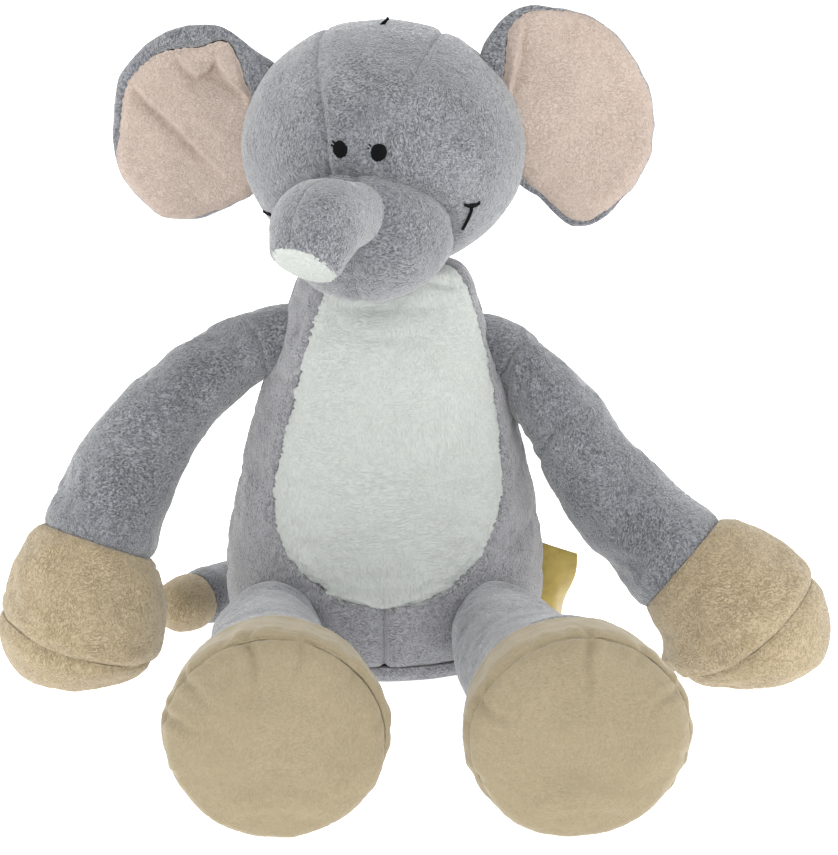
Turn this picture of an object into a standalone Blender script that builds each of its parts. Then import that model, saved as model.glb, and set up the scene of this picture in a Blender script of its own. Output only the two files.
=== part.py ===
"""Plush elephant, sitting.

Z is up, the front faces -Y, +X is the elephant's left.  The origin is on the
flat face of the base that the toy sits on.  All constants are in millimetres
and are turned into metres by MM when a mesh is made.
"""
import math

import bmesh
import bpy
from mathutils import Matrix, Vector

MM = 0.001

# ------------------------------------------------------------------ dimensions
SKIN = 1.5            # thickness of a plush panel, backing and short pile
SEAM = 1.1            # gap left between neighbouring panels
FILL = 1.3            # gap between a panel and the stuffing behind it
PLAY = 0.8            # gap round a ball in its socket

# torso: height, half width, front and back depth
TORSO = [
    (9.0, 66.0, -57.0, 48.0),
    (24.0, 72.0, -62.0, 52.0),
    (45.0, 73.5, -64.0, 53.0),
    (70.0, 70.5, -61.0, 51.0),
    (95.0, 65.0, -55.0, 47.0),
    (120.0, 58.0, -49.0, 42.0),
    (142.0, 52.0, -43.0, 37.0),
    (160.0, 46.5, -37.0, 33.0),
    (170.0, 43.0, -33.0, 30.0),
    (178.0, 39.0, -29.0, 27.0),
    (183.0, 32.0, -24.0, 22.0),
    (185.5, 21.0, -16.0, 14.0),
]
BASE_SEAM = 9.0
# belly panel: height, half angle, turn towards +X (degrees)
BELLY = [
    (41.0, 1.0, 0.0), (44.0, 13.0, 0.0), (48.0, 21.0, 0.0), (58.0, 33.0, 0.0),
    (70.0, 41.5, 0.5), (84.0, 48.0, 2.0), (100.0, 51.5, 4.0),
    (125.0, 54.0, 8.0), (150.0, 54.0, 11.0), (170.0, 52.0, 13.0),
    (186.0, 48.0, 14.0),
]

NECK_CENTRE = Vector((0.0, -3.0, 188.0))
NECK_RADIUS = 25.0

HEAD_CENTRE = Vector((0.0, -12.0, 240.0))
HEAD_RADII = (63.5, 58.0, 55.0)
HEAD_YAW = -11.0      # the head looks towards -X at rest
MUZZLE_CENTRE = Vector((0.0, -37.0, -28.5))   # from the head's centre
MUZZLE_RADII = (38.5, 33.0, 33.5)
# forehead gusset: angle over the head from the front, half width in degrees
GUSSET = [(-12.0, 12.0), (0.0, 10.5), (25.0, 14.5), (50.0, 20.5), (80.0, 24.0),
          (110.0, 22.0), (150.0, 16.0), (185.0, 10.0), (215.0, 5.0)]

TRUNK_ROOT = Vector((-12.0, -76.0, 221.0))
TRUNK_RADIUS = 14.0
TRUNK_SPINE = [(-14.5, -80.0, 221.5), (-18.5, -86.0, 222.3), (-23.2, -92.5, 221.2), (-27.0, -99.0, 216.0),
               (-30.5, -107.0, 206.2)]
TRUNK_RADII = [13.0, 17.5, 20.0, 19.2, 14.0]
TRUNK_TURN = [0.0, -10.0, -30.0, -48.0, -50.0]      # how far each ring leans down
TRUNK_HEADING = Vector((-0.505, -0.863, 0.0))

SHOULDER = Vector((52.0, 0.0, 148.0))      # mirrored for the right side
SHOULDER_RADIUS = 15.0
HIP = Vector((52.0, -47.0, 26.0))          # mirrored for the right side
HIP_RADIUS = 19.0

# limbs: centre line, then the two half widths at each point
ARM_LEFT = [
    ((62.5, -3.5, 140.5), 9.5, 10.5),
    ((71.0, -8.0, 128.5), 14.0, 15.0),
    ((83.5, -16.0, 111.5), 18.5, 18.5),
    ((96.0, -24.0, 93.0), 22.0, 20.0),
    ((111.0, -32.0, 75.5), 23.5, 21.5),
    ((132.0, -41.0, 57.0), 26.0, 24.0),
    ((150.0, -47.0, 43.0), 37.0, 30.0),
    ((160.0, -50.0, 31.0), 40.0, 33.0),
    ((166.0, -52.0, 17.0), 37.0, 31.0),
    ((168.0, -53.0, 7.0), 27.0, 23.0),
]
ARM_RIGHT = [
    ((-62.5, -3.5, 142.0), 12.0, 12.0),
    ((-73.0, -7.0, 137.5), 17.0, 16.0),
    ((-92.0, -15.0, 125.0), 20.0, 18.5),
    ((-106.0, -23.0, 110.0), 22.0, 20.0),
    ((-118.0, -32.0, 92.0), 23.5, 21.5),
    ((-128.5, -41.0, 67.0), 26.0, 24.0),
    ((-133.5, -46.0, 50.0), 34.0, 30.0),
    ((-136.0, -49.0, 32.0), 37.0, 34.0),
    ((-138.0, -51.0, 15.0), 34.0, 31.0),
    ((-138.5, -52.0, 5.0), 24.0, 22.0),
]
ARM_CUFF = 0.53       # where the sleeve ends and the hand starts, along the spine
ARM_SOLE = 0.84       # where the hand ends and its sole starts
LEG_LEFT = [
    ((52.0, -60.0, 26.5), 14.0, 14.0),
    ((54.5, -68.0, 26.8), 21.0, 21.0),
    ((59.5, -92.0, 28.0), 26.5, 25.5),
    ((66.0, -125.0, 31.0), 29.5, 28.5),
    ((72.0, -160.0, 36.0), 33.0, 33.0),
    ((75.5, -182.0, 39.5), 40.0, 38.0),
    ((77.5, -202.0, 41.5), 44.0, 41.0),
    ((78.3, -213.0, 42.0), 43.5, 41.0),
    ((79.0, -219.5, 42.5), 36.0, 34.0),
    ((79.4, -223.0, 42.8), 20.0, 19.0),
]
LEG_RIGHT = [
    ((-52.0, -60.0, 26.5), 14.0, 14.0),
    ((-51.5, -68.0, 26.8), 21.0, 21.0),
    ((-50.0, -92.0, 28.0), 26.0, 25.5),
    ((-47.0, -125.0, 31.0), 28.5, 28.5),
    ((-43.5, -160.0, 36.0), 32.5, 33.0),
    ((-41.5, -182.0, 39.5), 39.5, 38.0),
    ((-40.2, -202.0, 41.5), 43.5, 41.0),
    ((-39.8, -213.0, 42.0), 43.0, 41.0),
    ((-39.5, -219.5, 42.5), 35.5, 34.0),
    ((-39.3, -223.0, 42.8), 20.0, 19.0),
]
LEG_CUFF = 0.56
LEG_SOLE = 0.79

TAIL_ROOT = Vector((-14.0, 57.0, 20.0))
TAIL_RADIUS = 9.0
TAIL = [
    ((-18.5, 58.8, 19.0), 7.5, 7.5),
    ((-38.0, 59.5, 14.5), 11.0, 11.0),
    ((-60.0, 54.0, 12.8), 12.0, 12.0),
    ((-79.0, 39.5, 13.0), 12.6, 12.6),
    ((-91.0, 24.0, 13.3), 13.0, 13.0),
    ((-99.5, 13.5, 13.2), 12.6, 12.6),
    ((-104.0, 8.5, 12.8), 8.5, 8.5),
]
TAIL_TIP_START = 0.66

# ears: hinge line bottom and top, far edge distance, lowest and highest point
EAR_THICK = 3.2
EAR_LEFT = dict(low=Vector((70.5, -17.0, 222.0)), high=Vector((58.5, -17.0, 280.0)),
                centre=Vector((90.0, -14.0, 252.0)), half_width=30.5, half_height=47.5, sweep=0.02)
EAR_RIGHT = dict(low=Vector((-73.0, 5.0, 220.0)), high=Vector((-60.0, 5.0, 274.0)),
                 centre=Vector((-92.5, 8.0, 246.5)), half_width=31.0, half_height=45.5, sweep=0.02)

EYE_SPACING = 7.9     # half of the distance between the eyes, on the surface
EYE_HEIGHT = 7.0      # above the head's centre
EYE_SIZE = (3.4, 3.9, 0.5)

LABEL_ROOT = Vector((73.9, -5.0, 34.0))
LABEL_SIZE = (17.0, 1.6, 37.0)

# ------------------------------------------------------------------ collections
for _ob in list(bpy.data.objects):
    bpy.data.objects.remove(_ob, do_unlink=True)

parts = bpy.data.collections.new("plush_elephant")
cutters = bpy.data.collections.new("cutters")
bpy.context.scene.collection.children.link(parts)
bpy.context.scene.collection.children.link(cutters)


def material(name, colour, rough):
    mat = bpy.data.materials.new(name)
    mat.use_nodes = True
    bsdf = mat.node_tree.nodes["Principled BSDF"]
    bsdf.inputs["Base Color"].default_value = (*colour, 1.0)
    bsdf.inputs["Roughness"].default_value = rough
    bsdf.inputs["Metallic"].default_value = 0.0
    mat.diffuse_color = (*colour, 1.0)
    return mat


GREY = (0.30, 0.30, 0.32)
CREAM = (0.62, 0.64, 0.62)
PEACH = (0.62, 0.50, 0.43)
BEIGE = (0.48, 0.38, 0.25)
FIBRE = (0.85, 0.85, 0.83)
BLACK = (0.012, 0.012, 0.015)
YELLOW = (0.50, 0.36, 0.10)


# ------------------------------------------------------------------ helpers
def interp(rows, key, column):
    """Value of a column at a key, along smooth steps between the rows."""
    if key <= rows[0][0]:
        return rows[0][column]
    if key >= rows[-1][0]:
        return rows[-1][column]
    for i in range(len(rows) - 1):
        a, b = rows[i], rows[i + 1]
        if key <= b[0]:
            before = rows[max(i - 1, 0)]
            after = rows[min(i + 2, len(rows) - 1)]
            t = (key - a[0]) / (b[0] - a[0])
            p0, p1, p2, p3 = before[column], a[column], b[column], after[column]
            m1 = (p2 - p0) / max(b[0] - before[0], 1e-9) * (b[0] - a[0])
            m2 = (p3 - p1) / max(after[0] - a[0], 1e-9) * (b[0] - a[0])
            t2, t3 = t * t, t * t * t
            return ((2 * t3 - 3 * t2 + 1) * p1 + (t3 - 2 * t2 + t) * m1
                    + (-2 * t3 + 3 * t2) * p2 + (t3 - t2) * m2)
    return rows[-1][column]


def finish(name, bm, colour, rough=0.9, group=None, origin=None):
    """Mesh object in millimetres, moved to metres, with its origin on its joint."""
    origin = Vector((0, 0, 0)) if origin is None else Vector(origin)
    bmesh.ops.translate(bm, verts=bm.verts, vec=-origin)
    bmesh.ops.scale(bm, verts=bm.verts, vec=(MM, MM, MM))
    mesh = bpy.data.meshes.new(name)
    bm.to_mesh(mesh)
    bm.free()
    mesh.shade_smooth()
    ob = bpy.data.objects.new(name, mesh)
    ob.location = origin * MM
    (group or parts).objects.link(ob)
    if group is None:
        ob.data.materials.append(material(name, colour, rough))
    else:
        ob.hide_render = True
        ob.display_type = "WIRE"
    return ob


def outward(bm, centre):
    """Turn an open surface so that its faces point away from a centre."""
    bm.normal_update()
    total = sum((f.calc_center_median() - centre).dot(f.normal) * f.calc_area() for f in bm.faces)
    if total < 0:
        bmesh.ops.reverse_faces(bm, faces=bm.faces)


def sheet(nu, nv, point, closed_u=False):
    """Open surface over a grid of nu by nv steps, poles merged."""
    bm = bmesh.new()
    cols = nu if closed_u else nu + 1
    rows = [[bm.verts.new(point(i / nu, j / nv)) for i in range(cols)] for j in range(nv + 1)]
    for j in range(nv):
        for i in range(nu):
            k = (i + 1) % cols
            quad = [rows[j][i], rows[j][k], rows[j + 1][k], rows[j + 1][i]]
            bm.faces.new(quad)
    bmesh.ops.remove_doubles(bm, verts=bm.verts, dist=1e-4)
    return bm


def shell(name, bm, colour, centre, thick=SKIN, origin=None, offset=-1.0, even=True):
    outward(bm, centre)
    ob = finish(name, bm, colour, origin=origin)
    mod = ob.modifiers.new("skin", "SOLIDIFY")
    mod.thickness = thick * MM
    mod.offset = offset
    mod.use_even_offset = even
    return ob


def ball(name, centre, radius, colour=None, u=24, v=14, group=None, origin=None, radii=None, spin=0.0):
    bm = bmesh.new()
    bmesh.ops.create_uvsphere(bm, u_segments=u, v_segments=v, radius=1.0)
    rx, ry, rz = radii or (radius, radius, radius)
    bmesh.ops.scale(bm, verts=bm.verts, vec=(rx, ry, rz))
    if spin:
        bmesh.ops.rotate(bm, verts=bm.verts, cent=(0, 0, 0), matrix=Matrix.Rotation(math.radians(spin), 3, "Z"))
    bmesh.ops.translate(bm, verts=bm.verts, vec=Vector(centre))
    return finish(name, bm, colour or GREY, group=group, origin=origin)


def cut(ob, *tools):
    for tool in tools:
        mod = ob.modifiers.new("cut_" + tool.name, "BOOLEAN")
        mod.operation = "DIFFERENCE"
        mod.solver = "EXACT"
        mod.object = tool
    return ob


def mirrored(v):
    return Vector((-v[0], v[1], v[2]))


# ------------------------------------------------------------------ sockets
neck_socket = ball("neck_socket", NECK_CENTRE, NECK_RADIUS + PLAY, group=cutters, u=20, v=12)
shoulder_sockets = {
    "left": ball("shoulder_socket_left", SHOULDER, SHOULDER_RADIUS + PLAY, group=cutters, u=16, v=10),
    "right": ball("shoulder_socket_right", mirrored(SHOULDER), SHOULDER_RADIUS + PLAY, group=cutters, u=16, v=10),
}
hip_sockets = {
    "left": ball("hip_socket_left", HIP, HIP_RADIUS + PLAY, group=cutters, u=16, v=10),
    "right": ball("hip_socket_right", mirrored(HIP), HIP_RADIUS + PLAY, group=cutters, u=16, v=10),
}
tail_socket = ball("tail_socket", TAIL_ROOT, TAIL_RADIUS + PLAY, group=cutters, u=12, v=8)
trunk_socket = ball("trunk_socket", TRUNK_ROOT, TRUNK_RADIUS + PLAY + 0.2, group=cutters, u=14, v=10)


# ------------------------------------------------------------------ torso
def torso_point(z, degrees, inset=0.0):
    rx = interp(TORSO, z, 1) - inset
    front = interp(TORSO, z, 2) + inset
    back = interp(TORSO, z, 3) - inset
    cy, ry = (front + back) / 2, (back - front) / 2
    a = math.radians(degrees)
    return Vector((rx * math.sin(a), cy - ry * math.cos(a), z))


def gap_angle(z, degrees):
    """Half a seam's width as an angle at this height."""
    rx = interp(TORSO, z, 1)
    return math.degrees(SEAM * 0.5 / max(rx, 8.0))


Z_LOW, Z_HIGH = BASE_SEAM + 0.4, 185.0
# heights that the front panels and the belly panel share, so their edges match
FRONT_ROWS = [Z_LOW, 20.0, 31.0, 40.0, 42.0, 44.5, 48.0, 54.0, 62.0, 74.0, 90.0, 108.0, 126.0, 144.0, 160.0,
              172.0, 180.0, Z_HIGH]
BELLY_ROWS = [42.7] + FRONT_ROWS[5:]
TORSO_MID = Vector((0, -5, 90))


def belly_edge(z, side):
    if z < BELLY[0][0]:
        return 0.0
    return interp(BELLY, z, 2) + side * interp(BELLY, z, 1)


def front_panel(side):
    def point(u, v):
        z = FRONT_ROWS[round(v * (len(FRONT_ROWS) - 1))]
        g = gap_angle(z, 0)
        inner = belly_edge(z, side) + side * g
        outer = side * (90.0 - g)
        return torso_point(z, inner + (outer - inner) * u)
    name = "torso_front_left" if side > 0 else "torso_front_right"
    ob = shell(name, sheet(5, len(FRONT_ROWS) - 1, point), GREY, TORSO_MID)
    key = "left" if side > 0 else "right"
    return cut(ob, neck_socket, shoulder_sockets[key], hip_sockets[key])


def back_panel(side):
    def point(u, v):
        z = FRONT_ROWS[round(v * (len(FRONT_ROWS) - 1))]
        g = gap_angle(z, 0)
        inner, outer = side * (90.0 + g), side * (180.0 - g)
        return torso_point(z, inner + (outer - inner) * u)
    name = "torso_back_left" if side > 0 else "torso_back_right"
    ob = shell(name, sheet(6, len(FRONT_ROWS) - 1, point), GREY, TORSO_MID)
    key = "left" if side > 0 else "right"
    tools = [neck_socket, shoulder_sockets[key]]
    if side < 0:
        tools.append(tail_socket)
    return cut(ob, *tools)


front_panel(1)
front_panel(-1)
back_panel(1)
back_panel(-1)


def belly_point(u, v):
    row = round(v * (len(BELLY_ROWS) - 1))
    z = BELLY_ROWS[row]
    g = gap_angle(z, 0)
    edge_z = FRONT_ROWS[4] if row == 0 else z
    a, b = belly_edge(edge_z, -1) + g, belly_edge(edge_z, 1) - g
    if b < a:
        a = b = (a + b) / 2
    return torso_point(z, a + (b - a) * u)


cut(shell("belly_panel", sheet(7, len(BELLY_ROWS) - 1, belly_point), CREAM, TORSO_MID), neck_socket)


def base_point(u, v):
    a = math.radians(360.0 * u)
    rim = [(0.0, 0.0, 0.0), (0.45, 0.0, 0.0), (0.78, 0.0, 0.0), (0.90, 1.2, 0.0), (0.965, 4.0, 0.0), (1.0, BASE_SEAM, 0.0)]
    k = v * (len(rim) - 1)
    i = min(int(k + 1e-6), len(rim) - 2)
    t = k - i
    r = rim[i][0] + (rim[i + 1][0] - rim[i][0]) * t
    z = rim[i][1] + (rim[i + 1][1] - rim[i][1]) * t
    cy = (TORSO[0][2] + TORSO[0][3]) / 2
    ry = (TORSO[0][3] - TORSO[0][2]) / 2
    return Vector((TORSO[0][1] * r * math.sin(a), cy - ry * r * math.cos(a), z))


cut(shell("torso_base", sheet(24, 5, base_point, closed_u=True), GREY, Vector((0, -5, 40))),
    hip_sockets["left"], hip_sockets["right"])


def closed_loft(rows):
    """Closed solid over rings of points, with a pole at either end."""
    bm = bmesh.new()
    rings = [[bm.verts.new(p) for p in row] for row in rows]
    n = len(rows[0])
    for a, b in zip(rings, rings[1:]):
        for i in range(n):
            k = (i + 1) % n
            bm.faces.new([a[i], a[k], b[k], b[i]])
    for ring, flip in ((rings[0], True), (rings[-1], False)):
        centre = bm.verts.new(sum((v.co for v in ring), Vector()) / n)
        for i in range(n):
            k = (i + 1) % n
            tri = [ring[i], ring[k], centre]
            bm.faces.new(tri[::-1] if flip else tri)
    bmesh.ops.recalc_face_normals(bm, faces=bm.faces)
    return bm


def torso_ring(z, inset, n=20):
    return [torso_point(z, 360.0 * i / n, inset) for i in range(n)]


fill_inset = SKIN + FILL
rows = [torso_ring(z, fill_inset + more) for z, more in ((24.5, 0.6), (38, 0.3), (56, 0.2), (80, 0.2), (108, 0.2), (134, 0.2),
                                                        (154, 0.4), (168, 1.6), (176, 3.8))]
cut(finish("torso_stuffing", closed_loft(rows), FIBRE, 1.0), neck_socket,
    shoulder_sockets["left"], shoulder_sockets["right"], hip_sockets["left"], hip_sockets["right"], tail_socket)

ball("bean_pouch", (0, -5, 12.4), 0, FIBRE, u=16, v=6, radii=(37.0, 31.0, 9.6))


# ------------------------------------------------------------------ side label
def label_mesh():
    """Folded loop of ribbon, its two ends in the side seam."""
    depth, thick, tall = LABEL_SIZE
    ply = 0.35
    gap = thick - 2 * ply
    profile = [(0, -thick / 2), (depth - 0.8, -thick / 2), (depth, 0), (depth - 0.8, thick / 2), (0, thick / 2),
               (0, thick / 2 - ply), (depth - 0.95, thick / 2 - ply), (depth - ply * 1.4, 0),
               (depth - 0.95, -thick / 2 + ply), (0, -thick / 2 + ply)]
    bm = bmesh.new()
    low = [bm.verts.new((LABEL_ROOT.x + x, LABEL_ROOT.y + y, LABEL_ROOT.z - tall / 2)) for x, y in profile]
    face = bm.faces.new(low)
    out = bmesh.ops.extrude_face_region(bm, geom=[face])
    top = [v for v in out["geom"] if isinstance(v, bmesh.types.BMVert)]
    bmesh.ops.translate(bm, verts=top, vec=(0, 0, tall))
    bmesh.ops.recalc_face_normals(bm, faces=bm.faces)
    return bm


finish("side_label", label_mesh(), YELLOW, 0.45, origin=LABEL_ROOT)

# ------------------------------------------------------------------ neck
ball("neck_stuffing", NECK_CENTRE, NECK_RADIUS, GREY, u=18, v=10, origin=NECK_CENTRE)

# ------------------------------------------------------------------ head
YAW = Matrix.Rotation(math.radians(HEAD_YAW), 3, "Z")


def head_place(local):
    return HEAD_CENTRE + YAW @ Vector(local)


def head_point(over, side, inset=0.0):
    """Over: angle from the front over the top; side: angle towards +X."""
    p, q = math.radians(over), math.radians(side)
    rx, ry, rz = (r - inset for r in HEAD_RADII)
    return head_place((rx * math.sin(q), -ry * math.cos(q) * math.cos(p), rz * math.cos(q) * math.sin(p)))


muzzle_cutter = ball("muzzle_cutter", head_place(MUZZLE_CENTRE), 0, group=cutters, u=24, v=14, spin=HEAD_YAW,
                     radii=tuple(r + 0.9 for r in MUZZLE_RADII))
head_cutter = ball("head_cutter", HEAD_CENTRE, 0, group=cutters, u=28, v=16, spin=HEAD_YAW,
                   radii=tuple(r + 1.0 for r in HEAD_RADII))


def gusset_half(over):
    return interp(GUSSET, over, 1)


def gusset_point(u, v):
    over = GUSSET[0][0] + (GUSSET[-1][0] - GUSSET[0][0]) * v
    half = gusset_half(over) - 0.25
    return head_point(over, (2 * u - 1) * half)


cut(shell("head_forehead_panel", sheet(4, 18, gusset_point), GREY, HEAD_CENTRE, origin=NECK_CENTRE),
    muzzle_cutter, neck_socket)


def side_panel(side):
    n = 26

    def edge(over):
        over = (over + 40.0) % 360.0 - 40.0
        lo, hi = GUSSET[0][0], GUSSET[-1][0]
        if lo <= over <= hi:
            return gusset_half(over) + 0.25
        return 0.30 + max(0.0, 1.0 - (over - hi) / 20.0) * (GUSSET[-1][1] - 0.05) if over > hi else 0.30 + (
            max(0.0, 1.0 - (lo - over) / 14.0) * (GUSSET[0][1] - 0.05))

    def point(u, v):
        over = 360.0 * u - 20.0
        e = edge(over)
        return head_point(over, side * (e + (90.0 - e) * v))
    name = "head_side_left" if side > 0 else "head_side_right"
    ob = shell(name, sheet(n, 5, point, closed_u=True), GREY, HEAD_CENTRE, origin=NECK_CENTRE)
    return cut(ob, muzzle_cutter, neck_socket)


side_panel(1)
side_panel(-1)


def muzzle_half(side):
    """Half of the muzzle's dome, seamed down the middle."""
    def point(u, v):
        # v runs from the seam to the side, u round the axis that points sideways
        a = math.radians(360.0 * u)
        q = math.radians(0.45 + (90.0 - 0.45) * v)
        rx, ry, rz = MUZZLE_RADII
        return head_place(MUZZLE_CENTRE + Vector((side * rx * math.sin(q), -ry * math.cos(q) * math.cos(a),
                                                  rz * math.cos(q) * math.sin(a))))
    name = "muzzle_left" if side > 0 else "muzzle_right"
    ob = shell(name, sheet(16, 5, point, closed_u=True), GREY, head_place(MUZZLE_CENTRE), origin=NECK_CENTRE)
    return cut(ob, head_cutter, neck_socket, trunk_socket)


muzzle_half(1)
muzzle_half(-1)

stuff = ball("head_stuffing", HEAD_CENTRE, 0, FIBRE, u=18, v=10, spin=HEAD_YAW, origin=NECK_CENTRE,
             radii=tuple(r - fill_inset for r in HEAD_RADII))
lump = ball("muzzle_lump", head_place(MUZZLE_CENTRE), 0, group=cutters, u=16, v=10, spin=HEAD_YAW,
            radii=tuple(r - fill_inset - 0.2 for r in MUZZLE_RADII))
join = stuff.modifiers.new("muzzle", "BOOLEAN")
join.operation = "UNION"
join.solver = "EXACT"
join.object = lump
cut(stuff, neck_socket, trunk_socket)


def head_normal(local):
    rx, ry, rz = HEAD_RADII
    return (YAW @ Vector((local[0] / rx ** 2, local[1] / ry ** 2, local[2] / rz ** 2))).normalized()


def on_head(x, z):
    rx, ry, rz = HEAD_RADII
    y = -ry * math.sqrt(max(0.0, 1 - (x / rx) ** 2 - (z / rz) ** 2))
    return Vector((x, y, z))


def eye(side):
    local = on_head(side * EYE_SPACING, EYE_HEIGHT)
    normal = head_normal(local)
    bm = bmesh.new()
    bmesh.ops.create_cone(bm, cap_ends=True, segments=14, radius1=1.0, radius2=0.8, depth=1.0)
    bmesh.ops.scale(bm, verts=bm.verts, vec=(EYE_SIZE[0], EYE_SIZE[1], EYE_SIZE[2] * 2))
    up = Vector((0, 0, 1))
    zax = normal
    xax = up.cross(zax).normalized()
    yax = zax.cross(xax)
    turn = Matrix((xax, yax, zax)).transposed()
    bmesh.ops.rotate(bm, verts=bm.verts, cent=(0, 0, 0), matrix=turn)
    bmesh.ops.translate(bm, verts=bm.verts, vec=head_place(local) + normal * (EYE_SIZE[2] + 0.35))
    finish("eye_left" if side > 0 else "eye_right", bm, BLACK, 0.4, origin=NECK_CENTRE)


eye(1)
eye(-1)


def stitch(name, path, radius, origin):
    """Short embroidered line, a tube along a path just proud of the surface."""
    curve = bpy.data.curves.new(name, "CURVE")
    curve.dimensions = "3D"
    curve.bevel_depth = radius * MM
    curve.bevel_resolution = 1
    curve.use_fill_caps = True
    spline = curve.splines.new("POLY")
    spline.points.add(len(path) - 1)
    for pt, p in zip(spline.points, path):
        pt.co = (*((Vector(p) - origin) * MM), 1.0)
    ob = bpy.data.objects.new(name, curve)
    ob.location = origin * MM
    parts.objects.link(ob)
    curve.materials.append(material(name, BLACK, 0.6))
    return ob


def mouth(side):
    """Curved mouth mark at the end of the muzzle seam."""
    rise = 0.75 + 0.35
    path = []
    for x, z in ((42.0, -19.2), (40.6, -21.2), (39.4, -24.0), (38.6, -27.0), (37.8, -30.0)):
        local = on_head(side * x * 1.10, z)
        path.append(head_place(local) + head_normal(local) * rise)
    stitch("mouth_stitch_left" if side > 0 else "mouth_stitch_right", path, 0.7, NECK_CENTRE)


mouth(1)
mouth(-1)
thread = [head_place((3.0, -8.0, HEAD_RADII[2] + 0.05 + k)) for k in (0.0, 1.6, 3.2)]
stitch("thread_stub", thread, 0.5, NECK_CENTRE)


# ------------------------------------------------------------------ tubes
class Tube:
    """Limb: rings along a smooth centre line with two half widths."""

    def __init__(self, rows, side_ref, floor=True):
        self.rows = [(i / (len(rows) - 1), *row[0], row[1], row[2]) for i, row in enumerate(rows)]
        self.ref = Vector(side_ref)
        self.floor = floor

    def centre(self, t):
        return Vector((interp(self.rows, t, 1), interp(self.rows, t, 2), interp(self.rows, t, 3)))

    def radii(self, t):
        return interp(self.rows, t, 4), interp(self.rows, t, 5)

    def frame(self, t):
        d = (self.centre(min(t + 0.02, 1.0)) - self.centre(max(t - 0.02, 0.0))).normalized()
        a = d.cross(self.ref).normalized()
        b = d.cross(a).normalized()
        return d, a, b

    def point(self, t, turn, inset=0.0, lift=0.0):
        d, a, b = self.frame(t)
        r1, r2 = self.radii(t)
        r1, r2 = max(r1 - inset, 0.5), max(r2 - inset, 0.5)
        ang = 2 * math.pi * turn
        p = self.centre(t) + a * (r1 * math.cos(ang)) + b * (r2 * math.sin(ang)) + d * lift
        if self.floor:
            p.z = max(p.z, inset)
        return p


def tube_shell(name, tube, t0, t1, colour, origin, n=18, steps=8, cap=False, arc=None):
    """Panel over part of a tube; cap closes its far end with a low dome."""
    def point(u, v):
        t = t0 + (t1 - t0) * v
        if arc:
            u = arc[0] + (arc[1] - arc[0]) * u
        return tube.point(t, u)
    bm = sheet(n, steps, point, closed_u=not arc)
    if cap:
        rim = [v for v in bm.verts if v.is_boundary and (v.co - tube.centre(t1)).length <= max(tube.radii(t1)) * 1.05]
        last = [bm.verts.new(tube.centre(t1) + tube.frame(t1)[0] * 1.5)]
        ring = sorted(rim, key=lambda v: math.atan2((v.co - tube.centre(t1)).dot(tube.frame(t1)[2]),
                                                     (v.co - tube.centre(t1)).dot(tube.frame(t1)[1])))
        if len(ring) == n:
            for i in range(n):
                bm.faces.new([ring[i], ring[(i + 1) % n], last[0]])
        bmesh.ops.recalc_face_normals(bm, faces=bm.faces)
    mid = tube.centre((t0 + t1) / 2)
    return shell(name, bm, colour, mid, origin=origin, even=False)


def tube_fill(name, tube, t0, t1, inset, origin, n=16, steps=9, extra=None):
    rows = []
    for j in range(steps + 1):
        t = t0 + (t1 - t0) * j / steps
        rows.append([tube.point(t, i / n, inset) for i in range(n)])
    ob = finish(name, closed_loft(rows), FIBRE, 1.0, origin=origin)
    return ob


def arm(side):
    key = "left" if side > 0 else "right"
    centre = SHOULDER if side > 0 else mirrored(SHOULDER)
    tube = Tube(ARM_LEFT if side > 0 else ARM_RIGHT, (0, 1, 0))
    ball("shoulder_" + key, centre, SHOULDER_RADIUS, GREY, u=14, v=8, origin=centre)
    root = shoulder_sockets[key]
    cut(tube_shell("arm_sleeve_" + key, tube, 0.0, ARM_CUFF - 0.004, GREY, centre, n=12, steps=6), root)
    tube_shell("hand_" + key, tube, ARM_CUFF, ARM_SOLE - 0.004, BEIGE, centre, n=12, steps=5)
    tube_shell("hand_sole_" + key, tube, ARM_SOLE + 0.012, 1.0, BEIGE, centre, n=12, steps=3, cap=True)
    cut(tube_fill("arm_stuffing_" + key, tube, 0.01, 0.845, fill_inset + 2.2, centre, n=12, steps=9), root)


arm(1)
arm(-1)


def leg(side):
    key = "left" if side > 0 else "right"
    centre = HIP if side > 0 else mirrored(HIP)
    tube = Tube(LEG_LEFT if side > 0 else LEG_RIGHT, (0, 0, 1))
    fill = tube_fill("leg_stuffing_" + key, tube, 0.0, 0.825, fill_inset + 1.4, centre, n=14, steps=9)
    knob = ball("hip_ball_" + key, centre, HIP_RADIUS, group=cutters, u=16, v=8)
    mod = fill.modifiers.new("hip", "BOOLEAN")
    mod.operation = "UNION"
    mod.solver = "EXACT"
    mod.object = knob
    tube_shell("leg_sleeve_" + key, tube, 0.10, LEG_CUFF - 0.004, GREY, centre, n=14, steps=5)
    tube_shell("foot_" + key, tube, LEG_CUFF, LEG_SOLE - 0.004, BEIGE, centre, n=14, steps=4)
    tube_shell("foot_sole_" + key, tube, LEG_SOLE + 0.024, 1.0, BEIGE, centre, n=14, steps=3, cap=True)


leg(1)
leg(-1)

# ------------------------------------------------------------------ tail
tail = Tube(TAIL, (0, 0, 1))
tail_fill = tube_fill("tail_stuffing", tail, 0.0, 0.90, fill_inset + 0.2, TAIL_ROOT, n=10, steps=7)
knob = ball("tail_ball", TAIL_ROOT, TAIL_RADIUS, group=cutters, u=12, v=7)
mod = tail_fill.modifiers.new("root", "BOOLEAN")
mod.operation = "UNION"
mod.solver = "EXACT"
mod.object = knob
tube_shell("tail_sleeve", tail, 0.15, TAIL_TIP_START - 0.006, GREY, TAIL_ROOT, n=10, steps=5)
tube_shell("tail_tip", tail, TAIL_TIP_START + 0.006, 1.0, BEIGE, TAIL_ROOT, n=10, steps=3, cap=True)

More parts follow.
